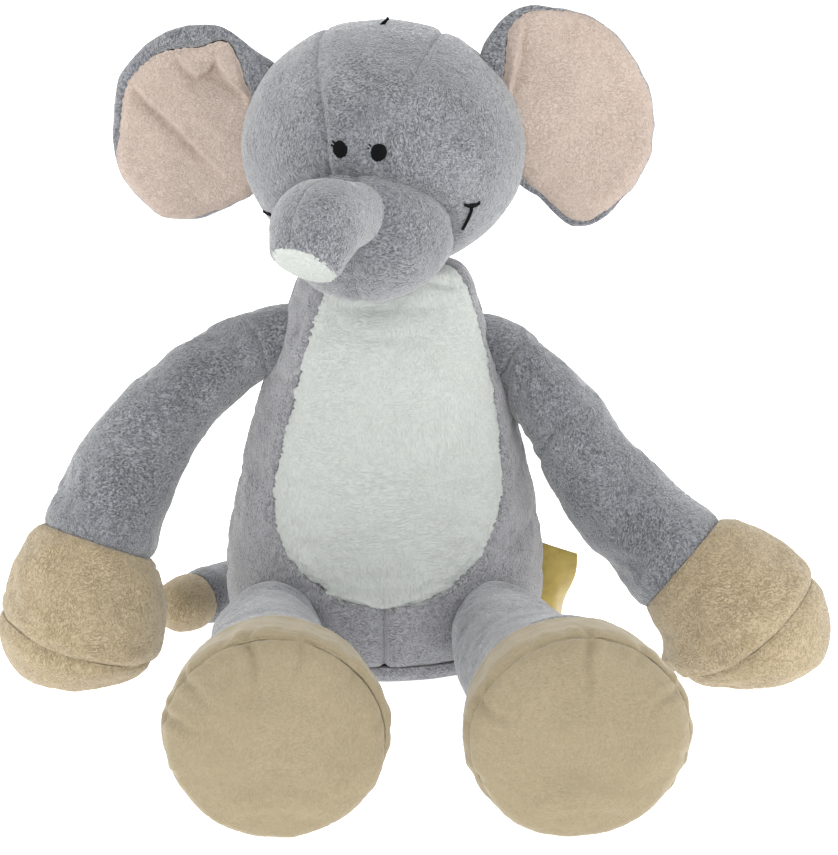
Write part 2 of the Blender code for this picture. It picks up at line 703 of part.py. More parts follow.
# ------------------------------------------------------------------ trunk
class TrunkTube(Tube):
    """Tube whose rings lean as listed, so the underside of the bend stays open."""

    def frame(self, t):
        rows = [(i / (len(TRUNK_TURN) - 1), lean) for i, lean in enumerate(TRUNK_TURN)]
        lean = math.radians(interp(rows, t, 1))
        d = TRUNK_HEADING * math.cos(lean) + Vector((0, 0, math.sin(lean)))
        b = Vector((0, 0, 1)).cross(TRUNK_HEADING).normalized()
        a = b.cross(d).normalized()
        return d, a, b


trunk = TrunkTube([(p, r, r) for p, r in zip(TRUNK_SPINE, TRUNK_RADII)], (1, 0, 0), floor=False)
trunk_fill = tube_fill("trunk_stuffing", trunk, 0.0, 0.90, fill_inset + 1.0, TRUNK_ROOT, n=12, steps=6)
knob = ball("trunk_ball", TRUNK_ROOT, TRUNK_RADIUS, group=cutters, u=14, v=8)
mod = trunk_fill.modifiers.new("root", "BOOLEAN")
mod.operation = "UNION"
mod.solver = "EXACT"
mod.object = knob
tube_shell("trunk_left", trunk, 0.22, 0.965, GREY, TRUNK_ROOT, n=7, steps=6, arc=(0.005, 0.495))
tube_shell("trunk_right", trunk, 0.22, 0.965, GREY, TRUNK_ROOT, n=7, steps=6, arc=(0.505, 0.995))


def trunk_disc():
    d, a, b = trunk.frame(1.0)
    c = trunk.centre(1.0) + d * 0.8
    bm = bmesh.new()
    bmesh.ops.create_cone(bm, cap_ends=True, segments=16, radius1=13.6, radius2=12.4, depth=1.4)
    turn = Matrix((a, d.cross(a), d)).transposed()
    bmesh.ops.rotate(bm, verts=bm.verts, cent=(0, 0, 0), matrix=turn)
    bmesh.ops.translate(bm, verts=bm.verts, vec=c)
    finish("trunk_tip", bm, CREAM, origin=TRUNK_ROOT)


trunk_disc()


# ------------------------------------------------------------------ ears
def ear(side):
    spec = EAR_LEFT if side > 0 else EAR_RIGHT
    key = "left" if side > 0 else "right"
    low, high = spec["low"], spec["high"]
    axis = (high - low).normalized()
    origin = (low + high) / 2
    c = spec["centre"]
    hw, hh = spec["half_width"], spec["half_height"]

    def mid(u, v):
        """Middle surface of the ear: u round its outline, v from its centre."""
        a = 2 * math.pi * u
        e = 2.0 / 2.35
        dx = math.copysign(abs(math.cos(a)) ** e, math.cos(a)) * hw * v
        dz = math.copysign(abs(math.sin(a)) ** e, math.sin(a)) * hh * v
        x = c.x + dx
        z = c.z + dz
        # the inner edge stays clear of the hinge line
        t = (z - low.z) / (high.z - low.z)
        hinge_x = low.x + (high.x - low.x) * t
        x = max(x, hinge_x + 1.0) if side > 0 else min(x, hinge_x - 1.0)
        away = abs(x - hinge_x)
        y = c.y + spec["sweep"] * away * 1.5 - 4.0 * (1 - v * v) * 0.0 + 0.0016 * away * away
        return Vector((x, y, z))

    def plate(name, colour, shift, front):
        bm = sheet(20, 3, lambda u, v: mid(u, v) + Vector((0, shift, 0)), closed_u=True)
        outward(bm, c + Vector((0, 500.0 if front else -500.0, 0)))
        ob = finish(name, bm, colour, origin=origin)
        m = ob.modifiers.new("pad", "SOLIDIFY")
        m.thickness = EAR_THICK * MM
        m.offset = 1.0
        return ob

    plate("ear_lining_" + key, PEACH, -0.25, True)
    plate("ear_back_" + key, GREY, 0.25, False)


ear(1)
ear(-1)
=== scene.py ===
"""Looks of the sitting plush elephant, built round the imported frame.

Every sewn panel is a mesh made on the real seam layout: a smooth stuffed form,
a turned-in groove along each seam, puckers and creases in the cloth, and the
clumps of the pile.  Lengths inside the helpers are millimetres.
"""
import math

import bpy
import numpy as np
from mathutils import Matrix, Vector


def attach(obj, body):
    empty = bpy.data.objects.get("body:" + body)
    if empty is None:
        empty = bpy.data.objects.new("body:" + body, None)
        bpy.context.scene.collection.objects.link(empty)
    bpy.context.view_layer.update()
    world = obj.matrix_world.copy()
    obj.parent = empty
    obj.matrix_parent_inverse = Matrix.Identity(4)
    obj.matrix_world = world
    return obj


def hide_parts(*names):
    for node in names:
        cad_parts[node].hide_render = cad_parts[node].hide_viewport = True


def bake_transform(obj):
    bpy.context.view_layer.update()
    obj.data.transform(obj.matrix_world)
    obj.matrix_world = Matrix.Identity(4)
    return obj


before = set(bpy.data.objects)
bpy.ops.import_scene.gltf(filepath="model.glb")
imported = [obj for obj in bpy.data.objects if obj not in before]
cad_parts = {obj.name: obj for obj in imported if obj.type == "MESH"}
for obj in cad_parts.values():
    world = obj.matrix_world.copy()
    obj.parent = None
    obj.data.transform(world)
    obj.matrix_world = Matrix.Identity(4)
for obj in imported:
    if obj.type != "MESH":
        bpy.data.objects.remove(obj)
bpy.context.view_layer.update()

MM = 0.001

# ------------------------------------------------------------------ camera and light
scene = bpy.context.scene
scene.view_settings.view_transform = "Standard"
scene.view_settings.look = "None"
scene.view_settings.exposure = 0.0
scene.view_settings.gamma = 1.0

CAM_TARGET = Vector((0.0157, 0.0, 0.1063))
CAM_ELEV = math.radians(16.0)
CAM_DIST = 1.15
cam_data = bpy.data.cameras.new("camera")
cam = bpy.data.objects.new("camera", cam_data)
scene.collection.objects.link(cam)
cam.location = CAM_TARGET + CAM_DIST * Vector((0, -math.cos(CAM_ELEV), math.sin(CAM_ELEV)))
cam.rotation_euler = (math.radians(90) - CAM_ELEV, 0, 0)
cam_data.sensor_width = 36.0
cam_data.sensor_fit = "AUTO"
cam_data.lens = 104.55
cam_data.clip_start = 0.01
scene.camera = cam


def area_light(name, where, target, size, power, colour=(1, 1, 1)):
    data = bpy.data.lights.new(name, "AREA")
    data.shape = "RECTANGLE"
    data.size, data.size_y = size
    data.energy = power
    data.color = colour
    ob = bpy.data.objects.new(name, data)
    scene.collection.objects.link(ob)
    ob.location = where
    ob.rotation_euler = (Vector(target) - Vector(where)).to_track_quat("-Z", "Y").to_euler()
    return ob


area_light("key", (0.95, -0.55, 0.95), (0, 0, 0.12), (1.0, 1.0), 5.0)
area_light("fill", (-1.15, -0.35, 0.80), (0, 0, 0.12), (1.0, 1.0), 4.2)
area_light("rim", (0.1, 1.3, 0.9), (0, 0, 0.15), (1.6, 0.9), 9.0)

world = bpy.data.worlds.new("studio") if not scene.world else scene.world
scene.world = world
world.use_nodes = True
wn = world.node_tree
bg = wn.nodes.get("Background") or wn.nodes.new("ShaderNodeBackground")
bg.inputs[0].default_value = (1.0, 1.0, 1.0, 1.0)
bg.inputs[1].default_value = 1.0


# ------------------------------------------------------------------ numbers
def hermite_table(rows, keys, column):
    """Values of a column at sorted keys, on smooth steps between the rows."""
    r = np.array([[float(c) for c in row] for row in rows])
    k = np.asarray(keys, float)
    x, y = r[:, 0], r[:, column]
    i = np.clip(np.searchsorted(x, k, side="right") - 1, 0, len(x) - 2)
    a, b = x[i], x[i + 1]
    before, after = np.maximum(i - 1, 0), np.minimum(i + 2, len(x) - 1)
    t = np.clip((k - a) / (b - a), 0, 1)
    p1, p2 = y[i], y[i + 1]
    m1 = (p2 - y[before]) / np.maximum(b - x[before], 1e-9) * (b - a)
    m2 = (y[after] - p1) / np.maximum(x[after] - a, 1e-9) * (b - a)
    t2, t3 = t * t, t ** 3
    return (2 * t3 - 3 * t2 + 1) * p1 + (t3 - 2 * t2 + t) * m1 + (-2 * t3 + 3 * t2) * p2 + (t3 - t2) * m2


def _lattice(ix, iy, iz, seed):
    h = (ix.astype(np.uint32) * np.uint32(374761393) + iy.astype(np.uint32) * np.uint32(668265263)
         + iz.astype(np.uint32) * np.uint32(2246822519) + np.uint32(seed * 3266489917 & 0xFFFFFFFF))
    h = (h ^ (h >> np.uint32(13))) * np.uint32(1274126177)
    h = (h ^ (h >> np.uint32(15))) * np.uint32(2246822519)
    return (h ^ (h >> np.uint32(16))).astype(np.float64) / 4294967295.0


def noise(p, scale, seed=0):
    """Smooth noise from -1 to 1 over points in millimetres; scale may be one size or three."""
    q = np.asarray(p, float) / np.asarray(scale, float)
    i = np.floor(q).astype(np.int64)
    f = q - i
    u = f * f * f * (f * (f * 6 - 15) + 10)
    out = 0.0
    with np.errstate(over="ignore"):
        for dx in (0, 1):
            for dy in (0, 1):
                for dz in (0, 1):
                    w = (u[..., 0] if dx else 1 - u[..., 0]) * (u[..., 1] if dy else 1 - u[..., 1]) \
                        * (u[..., 2] if dz else 1 - u[..., 2])
                    out = out + w * _lattice(i[..., 0] + dx, i[..., 1] + dy, i[..., 2] + dz, seed)
    return out * 2 - 1


def fbm(p, scale, octaves=3, seed=0, fall=0.5):
    total, amp, norm = 0.0, 1.0, 0.0
    s = np.asarray(scale, float)
    for k in range(octaves):
        total = total + amp * noise(p, s, seed + 17 * k)
        norm += amp
        amp *= fall
        s = s * 0.5
    return total / norm


def smooth(a, b, x):
    t = np.clip((x - a) / (b - a), 0, 1)
    return t * t * (3 - 2 * t)


# ------------------------------------------------------------------ meshes
pieces = bpy.data.collections.new("looks")
scene.collection.children.link(pieces)


def make_mesh(name, verts, faces, material):
    """Object from vertices in millimetres and quads or triangles as lists of index arrays."""
    used = np.zeros(len(verts), bool)
    for f in faces:
        used[f.ravel()] = True
    index = np.cumsum(used) - 1
    verts = verts[used]
    faces = [index[f] for f in faces if len(f)]
    mesh = bpy.data.meshes.new(name)
    mesh.vertices.add(len(verts))
    mesh.vertices.foreach_set("co", (verts * MM).astype(np.float32).ravel())
    loops = np.concatenate([f.ravel() for f in faces])
    sizes = np.concatenate([np.full(len(f), f.shape[1]) for f in faces])
    starts = np.concatenate([[0], np.cumsum(sizes)[:-1]])
    mesh.loops.add(len(loops))
    mesh.loops.foreach_set("vertex_index", loops.astype(np.int32))
    mesh.polygons.add(len(sizes))
    mesh.polygons.foreach_set("loop_start", starts.astype(np.int32))
    mesh.update(calc_edges=True)
    mesh.validate()
    mesh.shade_smooth()
    ob = bpy.data.objects.new(name, mesh)
    pieces.objects.link(ob)
    mesh.materials.append(material)
    return ob


def grid_normals(p, centre, closed_u=False):
    if closed_u:
        du = np.roll(p, -1, axis=1) - np.roll(p, 1, axis=1)
    else:
        du = np.gradient(p, axis=1)
    dv = np.gradient(p, axis=0)
    n = np.cross(du, dv)
    length = np.linalg.norm(n, axis=-1, keepdims=True)
    for row, near in ((0, 1), (-1, -2)):
        if length[row].max() < 1e-6 * max(length.max(), 1e-9) or length[row].mean() < 0.02 * length[near].mean():
            n[row] = n[near].mean(axis=0)
            length[row] = np.linalg.norm(n[row], axis=-1, keepdims=True)
    n = n / np.maximum(length, 1e-12)
    if callable(centre):
        sign = np.sum(n * centre(p))
    else:
        sign = np.sum(n * (p - np.asarray(centre, float)))
    return n if sign >= 0 else -n


def arc(p, axis, closed=False):
    """Length along the grid lines from the first to each point, and the whole length."""
    d = np.linalg.norm(np.diff(p, axis=axis), axis=-1)
    zero = np.zeros_like(np.take(d, [0], axis=axis))
    run = np.concatenate([zero, np.cumsum(d, axis=axis)], axis=axis)
    return run, np.take(run, [-1], axis=axis)


def groove(s, width=2.4, depth=1.7, bulge=0.5, at=7.0, spread=4.0):
    """Turned-in seam at distance s, with the stuffing swelling beside it."""
    return -depth * np.exp(-(s / width) ** 2) + bulge * np.exp(-((s - at) / spread) ** 2)


def puckers(s, along, seed, pitch=6.0, reach=9.0, size=0.8):
    """Short creases that run away from a seam; along is a position in millimetres on it."""
    q = np.stack([along / pitch, np.zeros_like(along), np.zeros_like(along)], -1)
    w = noise(q * 1.0, 1.0, seed)
    w2 = noise(q * 0.37, 1.0, seed + 5)
    s = np.abs(s)
    return -size * np.exp(-(s / reach) ** 1.5) * np.clip(0.5 - np.abs(w) * 2.2, 0, 1) * (0.45 + 0.55 * (w2 > -0.15)) \
        * smooth(0.0, 1.2, s)


def pile(p, seed=0, size=1.0, lie=(1, 1, 1)):
    """Clumps of short pile as height in millimetres."""
    s = np.asarray(lie, float)
    a = fbm(p, 3.2 * s, 2, seed + 3)
    b = noise(p, 1.6 * s, seed + 9)
    big = fbm(p, 15.0, 2, seed + 21)
    return size * (0.13 * a + 0.10 * b * (0.8 + 0.5 * big) + 0.10 * big)


def lip_rows(p, n, edge, closed_u=False, fold=(1.3, 3.2), inward=(0.25, 0.9)):
    """Two rows turned in under an edge of the grid, as a seam allowance."""
    if edge == "v0":
        base, nn, nxt = p[0], n[0], p[2] - p[0]
    elif edge == "v1":
        base, nn, nxt = p[-1], n[-1], p[-3] - p[-1]
    elif edge == "u0":
        base, nn, nxt = p[:, 0], n[:, 0], p[:, 2] - p[:, 0]
    else:
        base, nn, nxt = p[:, -1], n[:, -1], p[:, -3] - p[:, -1]
    inn = nxt / np.maximum(np.linalg.norm(nxt, axis=-1, keepdims=True), 1e-9)
    return [base - nn * f + inn * w for f, w in zip(fold, inward)]


def surface(name, p, n, material, closed_u=False, lips=(), keep=None, poles=()):
    """Object over a grid p[v, u]; lips name the edges that turn in; keep masks the grid's points."""
    p = p.copy()
    rows_before = rows_after = cols_before = cols_after = 0
    if "v0" in lips:
        a, b = lip_rows(p, n, "v0", closed_u)
        p_new = np.concatenate([[b], [a], p]); n = np.concatenate([n[:1], n[:1], n]); p = p_new; rows_before = 2
    if "v1" in lips:
        q = p[rows_before:]
        a, b = lip_rows(q, n[rows_before:], "v1", closed_u)
        p = np.concatenate([p, [a], [b]]); n = np.concatenate([n, n[-1:], n[-1:]]); rows_after = 2
    if not closed_u and "u0" in lips:
        a, b = lip_rows(p, n, "u0")
        p = np.concatenate([b[:, None], a[:, None], p], axis=1); n = np.concatenate([n[:, :1], n[:, :1], n], axis=1); cols_before = 2
    if not closed_u and "u1" in lips:
        a, b = lip_rows(p[:, cols_before:], n[:, cols_before:], "u1")
        p = np.concatenate([p, a[:, None], b[:, None]], axis=1); cols_after = 2
    nv, nu = p.shape[:2]
    if keep is not None:
        keep = np.pad(keep, ((rows_before, rows_after), (cols_before, cols_after)), mode="edge")
    idx = np.arange(nv * nu).reshape(nv, nu)
    verts = p.reshape(-1, 3)
    if closed_u:
        idx = np.concatenate([idx, idx[:, :1]], axis=1)
        if keep is not None:
            keep = np.concatenate([keep, keep[:, :1]], axis=1)
    first, last = 0, nv - 1
    tris = []
    if "v0" in poles:
        c = idx[0, 0]
        tris.append(np.stack([np.full(idx.shape[1] - 1, c), idx[1, 1:], idx[1, :-1]], -1)); first = 1
    if "v1" in poles:
        c = idx[-1, 0]
        tris.append(np.stack([idx[-2, :-1], idx[-2, 1:], np.full(idx.shape[1] - 1, c)], -1)); last = nv - 2
    a = idx[first:last, :-1]; b = idx[first:last, 1:]; c = idx[first + 1:last + 1, 1:]; d = idx[first + 1:last + 1, :-1]
    quads = np.stack([a, b, c, d], -1)
    if keep is not None:
        k = keep[first:last, :-1] | keep[first:last, 1:] | keep[first + 1:last + 1, 1:] | keep[first + 1:last + 1, :-1]
        quads = quads[k]
    quads = quads.reshape(-1, 4)
    faces = [quads] + tris
    # turn the faces to match the outward normals
    q = quads[:: max(1, len(quads) // 400)]
    pa, pb, pc = verts[q[:, 0]], verts[q[:, 1]], verts[q[:, 2]]
    face_n = np.cross(pb - pa, pc - pa)
    want = n.reshape(-1, 3)
    if want.shape[0] == verts.shape[0]:
        s = np.sum(face_n * want[q[:, 0]])
    else:
        s = np.sum(face_n * (pa - verts.mean(axis=0)))
    if s < 0:
        faces = [f[:, ::-1] for f in faces]
    return make_mesh(name, verts, faces, material)


# ------------------------------------------------------------------ materials
def plush(name, dark, mid, light, patch=38.0, clump=420.0, fibre=1750.0, contrast=1.0, sheen=0.55, bump=1.0,
          lie=(1.0, 1.0, 0.5), tip=(1.0, 1.0, 1.0), sweep=0.012, rough=0.42, parting=820.0, lines=1.0):
    """Short pile: brushed patches, tufts and single fibres in colour and height, painted shade in the partings between
    the tufts, and a soft sheen.
    """
    mat = bpy.data.materials.new(name)
    mat.use_nodes = True
    nt = mat.node_tree
    nt.nodes.clear()
    N = nt.nodes.new
    L = nt.links.new
    out = N("ShaderNodeOutputMaterial")
    bsdf = N("ShaderNodeBsdfPrincipled")
    L(bsdf.outputs[0], out.inputs[0])
    co = N("ShaderNodeTexCoord").outputs["Object"]

    def vec(op, x, y=None, scale=None):
        m = N("ShaderNodeVectorMath")
        m.operation = op
        for k, v in enumerate((x, y)):
            if v is None:
                continue
            if isinstance(v, tuple):
                m.inputs[k].default_value = v
            else:
                L(v, m.inputs[k])
        if scale is not None:
            m.inputs["Scale"].default_value = scale
        return m.outputs[0]

    def tex(scale, detail, roughness, source, out_name="Fac", distort=0.0):
        t = N("ShaderNodeTexNoise")
        t.inputs["Scale"].default_value = scale
        t.inputs["Detail"].default_value = detail
        t.inputs["Roughness"].default_value = roughness
        t.inputs["Distortion"].default_value = distort
        L(source, t.inputs["Vector"])
        return t.outputs[out_name]

    def num(op, x, y):
        m = N("ShaderNodeMath")
        m.operation = op
        for k, v in enumerate((x, y)):
            if isinstance(v, (int, float)):
                m.inputs[k].default_value = v
            else:
                L(v, m.inputs[k])
        return m.outputs[0]
    # the lie of the pile swings slowly over the cloth
    swing = vec("SCALE", vec("SUBTRACT", tex(26.0, 1.0, 0.5, co, "Color"), (0.5, 0.5, 0.5)), scale=sweep)
    flow = vec("ADD", co, swing)
    laid = vec("MULTIPLY", flow, lie)
    cross = vec("MULTIPLY", flow, (lie[2] * 1.15, 1.0, 1.0))
    a = tex(patch, 2.0, 0.5, co, distort=0.5)
    b = tex(clump, 2.0, 0.55, laid, distort=0.4)
    c1 = tex(fibre, 2.0, 0.6, laid)
    c2 = tex(fibre * 0.9, 2.0, 0.6, cross)
    which = N("ShaderNodeMapRange")
    which.inputs["From Min"].default_value = 0.42
    which.inputs["From Max"].default_value = 0.58
    L(tex(30.0, 1.0, 0.5, co), which.inputs["Value"])
    c = num("ADD", num("MULTIPLY", c1, which.outputs[0]), num("MULTIPLY", c2, num("SUBTRACT", 1.0, which.outputs[0])))
    # the pile parts along short wandering lines; in the colour these lines are painted shade, darker where the partings
    # between the tufts fall in shadow, and they also set the bump
    worm = num("ABSOLUTE", num("SUBTRACT", tex(parting, 1.0, 0.5, laid, distort=0.6), 0.5), 0.0)
    worm2 = num("ABSOLUTE", num("SUBTRACT", tex(parting * 0.9, 1.0, 0.5, cross, distort=0.6), 0.5), 0.0)
    tuft = num("ADD", num("MULTIPLY", worm, which.outputs[0]), num("MULTIPLY", worm2, num("SUBTRACT", 1.0, which.outputs[0])))
    tuft = num("MINIMUM", num("MULTIPLY", tuft, 11.0), 1.0)
    mix = num("ADD", num("MULTIPLY", num("SUBTRACT", a, 0.5), 0.30 * contrast),
              num("MULTIPLY", num("SUBTRACT", b, 0.5), 0.22 * contrast))
    mix = num("ADD", mix, num("MULTIPLY", num("SUBTRACT", c, 0.5), 1.1 * contrast))
    # painted shade: the partings between the tufts darken the base colour
    mix = num("ADD", mix, num("MULTIPLY", num("SUBTRACT", tuft, 0.75), 0.34 * contrast * lines))
    mix = num("ADD", mix, 0.5)
    ramp = N("ShaderNodeValToRGB")
    e = ramp.color_ramp.elements
    e[0].position, e[0].color = 0.05, (*dark, 1)
    e[1].position, e[1].color = 0.95, (*light, 1)
    m = ramp.color_ramp.elements.new(0.5)
    m.color = (*mid, 1)
    L(mix, ramp.inputs[0])
    L(ramp.outputs[0], bsdf.inputs["Base Color"])
    bsdf.inputs["Roughness"].default_value = 0.95
    bsdf.inputs["Specular IOR Level"].default_value = 0.08
    bsdf.inputs["Sheen Weight"].default_value = sheen
    bsdf.inputs["Sheen Roughness"].default_value = rough
    bsdf.inputs["Sheen Tint"].default_value = (*tip, 1.0)
    b1 = N("ShaderNodeBump")
    b1.inputs["Strength"].default_value = 0.7 * bump * lines
    b1.inputs["Distance"].default_value = 0.0005
    L(tuft, b1.inputs["Height"])
    b2 = N("ShaderNodeBump")
    b2.inputs["Strength"].default_value = 0.8 * bump
    b2.inputs["Distance"].default_value = 0.00035
    L(c, b2.inputs["Height"])
    L(b1.outputs[0], b2.inputs["Normal"])
    L(b2.outputs[0], bsdf.inputs["Normal"])
    return mat


def srgb(r, g, b):
    out = []
    for v in (r, g, b):
        v = v / 255.0
        out.append(v / 12.92 if v <= 0.04045 else ((v + 0.055) / 1.055) ** 2.4)
    return tuple(out)


GREY = plush("grey_plush", srgb(74, 76, 81), srgb(122, 124, 129), srgb(169, 170, 175), sheen=0.9, rough=0.4, contrast=1.2)
# The torso's grey is a lighter copy of the grey plush. This is painted light that stands in for the rim light on the
# torso's turned sides.
RIMLIT_BODY_GREY = plush("grey_plush_body_painted_rim_light", srgb(98, 98, 102), srgb(145, 145, 149), srgb(186, 186, 190), sheen=0.9, rough=0.4, contrast=1.0)
CREAM = plush("cream_plush", srgb(162, 166, 162), srgb(190, 194, 190), srgb(211, 215, 212), contrast=0.55, sheen=0.12,
              bump=0.6, lie=(1.0, 1.0, 0.22))
PEACH = plush("peach_lining", srgb(152, 133, 120), srgb(184, 168, 157), srgb(208, 194, 184), contrast=0.62, lie=(1.0, 1.0, 0.7), sheen=0.22,
              bump=0.8, tip=(1.0, 0.97, 0.94))
BEIGE = plush("beige_plush", srgb(122, 106, 80), srgb(168, 152, 123), srgb(204, 191, 165), contrast=0.8, sheen=0.42,
              bump=0.9, tip=(1.0, 0.98, 0.94))
SOLE = plush("beige_plush_smooth", srgb(118, 106, 82), srgb(150, 138, 113), srgb(176, 164, 140), contrast=0.5, sheen=0.35,
             bump=0.35, lines=0.5, tip=(1.0, 0.98, 0.94))


def thread_material(name, colour, rough=0.45, ridge=2600.0):
    mat = bpy.data.materials.new(name)
    mat.use_nodes = True
    nt = mat.node_tree
    bsdf = nt.nodes["Principled BSDF"]
    co = nt.nodes.new("ShaderNodeTexCoord")
    t = nt.nodes.new("ShaderNodeTexNoise")
    t.inputs["Scale"].default_value = ridge
    t.inputs["Detail"].default_value = 2.0
    nt.links.new(co.outputs["Object"], t.inputs["Vector"])
    ramp = nt.nodes.new("ShaderNodeValToRGB")
    ramp.color_ramp.elements[0].color = (*[c * 0.55 for c in colour], 1)
    ramp.color_ramp.elements[1].color = (*[min(1, c * 1.7 + 0.004) for c in colour], 1)
    nt.links.new(t.outputs["Fac"], ramp.inputs[0])
    nt.links.new(ramp.outputs[0], bsdf.inputs["Base Color"])
    bsdf.inputs["Roughness"].default_value = rough
    bump = nt.nodes.new("ShaderNodeBump")
    bump.inputs["Strength"].default_value = 0.4
    bump.inputs["Distance"].default_value = 0.00015
    nt.links.new(t.outputs["Fac"], bump.inputs["Height"])
    nt.links.new(bump.outputs[0], bsdf.inputs["Normal"])
    return mat


BLACK = thread_material("black_thread", (0.0012, 0.0012, 0.002), rough=0.8)
BLACK.node_tree.nodes["Principled BSDF"].inputs["Specular IOR Level"].default_value = 0.12

# ------------------------------------------------------------------ cloth
def cloth_field(name, p, pins, pressure=4.0, slack=0.035, frames=20, cap=2.6):
    """How far a stuffed sleeve moves off its form when it is filled: a simulated grid p[v, u], closed round u.

    Seams are pinned.  The cloth is cut a little large, so it swells and wrinkles between them.
    """
    nv, nu = p.shape[:2]
    verts = np.concatenate([p.reshape(-1, 3), [p[0].mean(axis=0)], [p[-1].mean(axis=0)]]) * MM
    idx = np.arange(nv * nu).reshape(nv, nu)
    nxt = np.roll(idx, -1, axis=1)
    quads = np.stack([idx[:-1], nxt[:-1], nxt[1:], idx[1:]], -1).reshape(-1, 4).tolist()
    low = [[int(nxt[0, j]), int(idx[0, j]), nv * nu] for j in range(nu)]
    high = [[int(idx[-1, j]), int(nxt[-1, j]), nv * nu + 1] for j in range(nu)]
    mesh = bpy.data.meshes.new(name)
    mesh.from_pydata(verts.tolist(), [], quads + low + high)
    mesh.update()
    volume = 0.0
    for poly in mesh.polygons:
        volume += poly.center.dot(poly.normal) * poly.area
    if volume < 0:
        mesh.flip_normals()
        mesh.update()
    ob = bpy.data.objects.new(name, mesh)
    scene.collection.objects.link(ob)
    group = ob.vertex_groups.new(name="seams")
    mask = np.concatenate([np.asarray(pins, bool).ravel(), [True, True]])
    group.add([int(i) for i in np.nonzero(mask)[0]], 1.0, "REPLACE")
    mod = ob.modifiers.new("cloth", "CLOTH")
    cs = mod.settings
    cs.quality = 6
    cs.mass = 0.25
    cs.tension_stiffness = 18
    cs.compression_stiffness = 14
    cs.shear_stiffness = 6
    cs.bending_stiffness = 0.35
    cs.tension_damping = 8
    cs.compression_damping = 8
    cs.air_damping = 4
    cs.use_pressure = True
    cs.uniform_pressure_force = pressure
    cs.shrink_min = -slack
    cs.vertex_group_mass = "seams"
    cs.pin_stiffness = 1.0
    cs.effector_weights.gravity = 0.0
    mod.collision_settings.use_self_collision = False
    mod.collision_settings.use_collision = False
    mod.point_cache.frame_start = 1
    mod.point_cache.frame_end = frames + 1
    for f in range(1, frames + 1):
        scene.frame_set(f)
    dg = bpy.context.evaluated_depsgraph_get()
    ev = ob.evaluated_get(dg)
    out = ev.to_mesh()
    co = np.empty(len(out.vertices) * 3, np.float32)
    out.vertices.foreach_get("co", co)
    ev.to_mesh_clear()
    co = co.reshape(-1, 3)[: nv * nu].reshape(nv, nu, 3) / MM
    bpy.data.objects.remove(ob)
    scene.frame_set(1)
    n = grid_normals(p, p.reshape(-1, 3).mean(axis=0), closed_u=True)
    d = np.sum((co - p) * n, -1)
    d = np.where(np.isfinite(d), d, 0.0)
    d = np.clip(d, -cap, cap)
    # the form already has the measured size, so only the local swell and wrinkles are kept
    wide = d.copy()
    for _ in range(14):
        wide = (wide + np.roll(wide, 1, 1) + np.roll(wide, -1, 1)) / 3
        pad = np.concatenate([wide[:1], wide, wide[-1:]])
        wide = (pad[:-2] + pad[1:-1] + pad[2:]) / 3
    return np.clip(d - 0.85 * wide, -cap, cap)


def sample(field, v, u, closed=True):
    """Smooth reading of a field at rows v and columns u, both counted in grid steps."""
    nv, nu = field.shape
    f = field
    v = np.clip(v, 0, nv - 1.001)
    i = np.floor(v).astype(int)
    a = v - i
    a = a * a * (3 - 2 * a) * 0.5 + a * 0.5
    if closed:
        u = np.mod(u, nu)
        j = np.floor(u).astype(int) % nu
        j2 = (j + 1) % nu
    else:
        u = np.clip(u, 0, nu - 1.001)
        j = np.floor(u).astype(int)
        j2 = j + 1
    b = u - np.floor(u)
    b = b * b * (3 - 2 * b) * 0.5 + b * 0.5
    return (f[i, j] * (1 - a) * (1 - b) + f[i + 1, j] * a * (1 - b) + f[i, j2] * (1 - a) * b + f[i + 1, j2] * a * b)


# ------------------------------------------------------------------ torso
TORSO = [
    (0.0, 60.0, -52.0, 43.0), (9.0, 66.0, -57.0, 48.0), (24.0, 72.0, -62.0, 52.0), (45.0, 73.5, -64.0, 53.0),
    (70.0, 70.5, -61.0, 51.0), (95.0, 65.0, -55.0, 47.0), (120.0, 58.0, -49.0, 42.0), (142.0, 52.0, -43.0, 37.0),
    (160.0, 46.5, -37.0, 33.0), (170.0, 43.0, -33.0, 30.0), (178.0, 39.5, -29.5, 27.0), (184.0, 34.0, -25.0, 23.0),
    (188.0, 24.0, -17.0, 16.0),
]
BELLY = [
    (41.0, 0.0, 0.0), (42.2, 8.0, 0.0), (44.0, 13.0, 0.0), (48.0, 21.0, 0.0), (58.0, 33.0, 0.0), (70.0, 41.5, 0.5),
    (84.0, 48.0, 2.0), (100.0, 51.5, 4.0), (125.0, 54.0, 8.0), (150.0, 54.5, 11.0), (170.0, 53.0, 13.0), (186.0, 50.0, 14.0),
]
BASE_SEAM = 9.0
TOP = 187.0


def torso_at(z, degrees):
    rx = hermite_table(TORSO, z.ravel(), 1).reshape(z.shape)
    f = hermite_table(TORSO, z.ravel(), 2).reshape(z.shape)
    b = hermite_table(TORSO, z.ravel(), 3).reshape(z.shape)
    a = np.radians(degrees)
    return np.stack([rx * np.sin(a), (f + b) / 2 - (b - f) / 2 * np.cos(a), z], -1)


def belly_angle(z, side):
    half = hermite_table(BELLY, z, 1)
    turn = hermite_table(BELLY, z, 2)
    return np.where(z < BELLY[0][0], 0.0, turn + side * np.maximum(half, 0.0))


def body_form(p, n, seed):
    """Soft swelling and slack of the stuffed torso."""
    return 1.1 * fbm(p, 42.0, 2, 301) + 0.5 * fbm(p, (30.0, 30.0, 16.0), 2, 307)


TORSO_Z = np.linspace(BASE_SEAM, TOP, 44)
TORSO_A = np.linspace(0, 360, 88, endpoint=False)


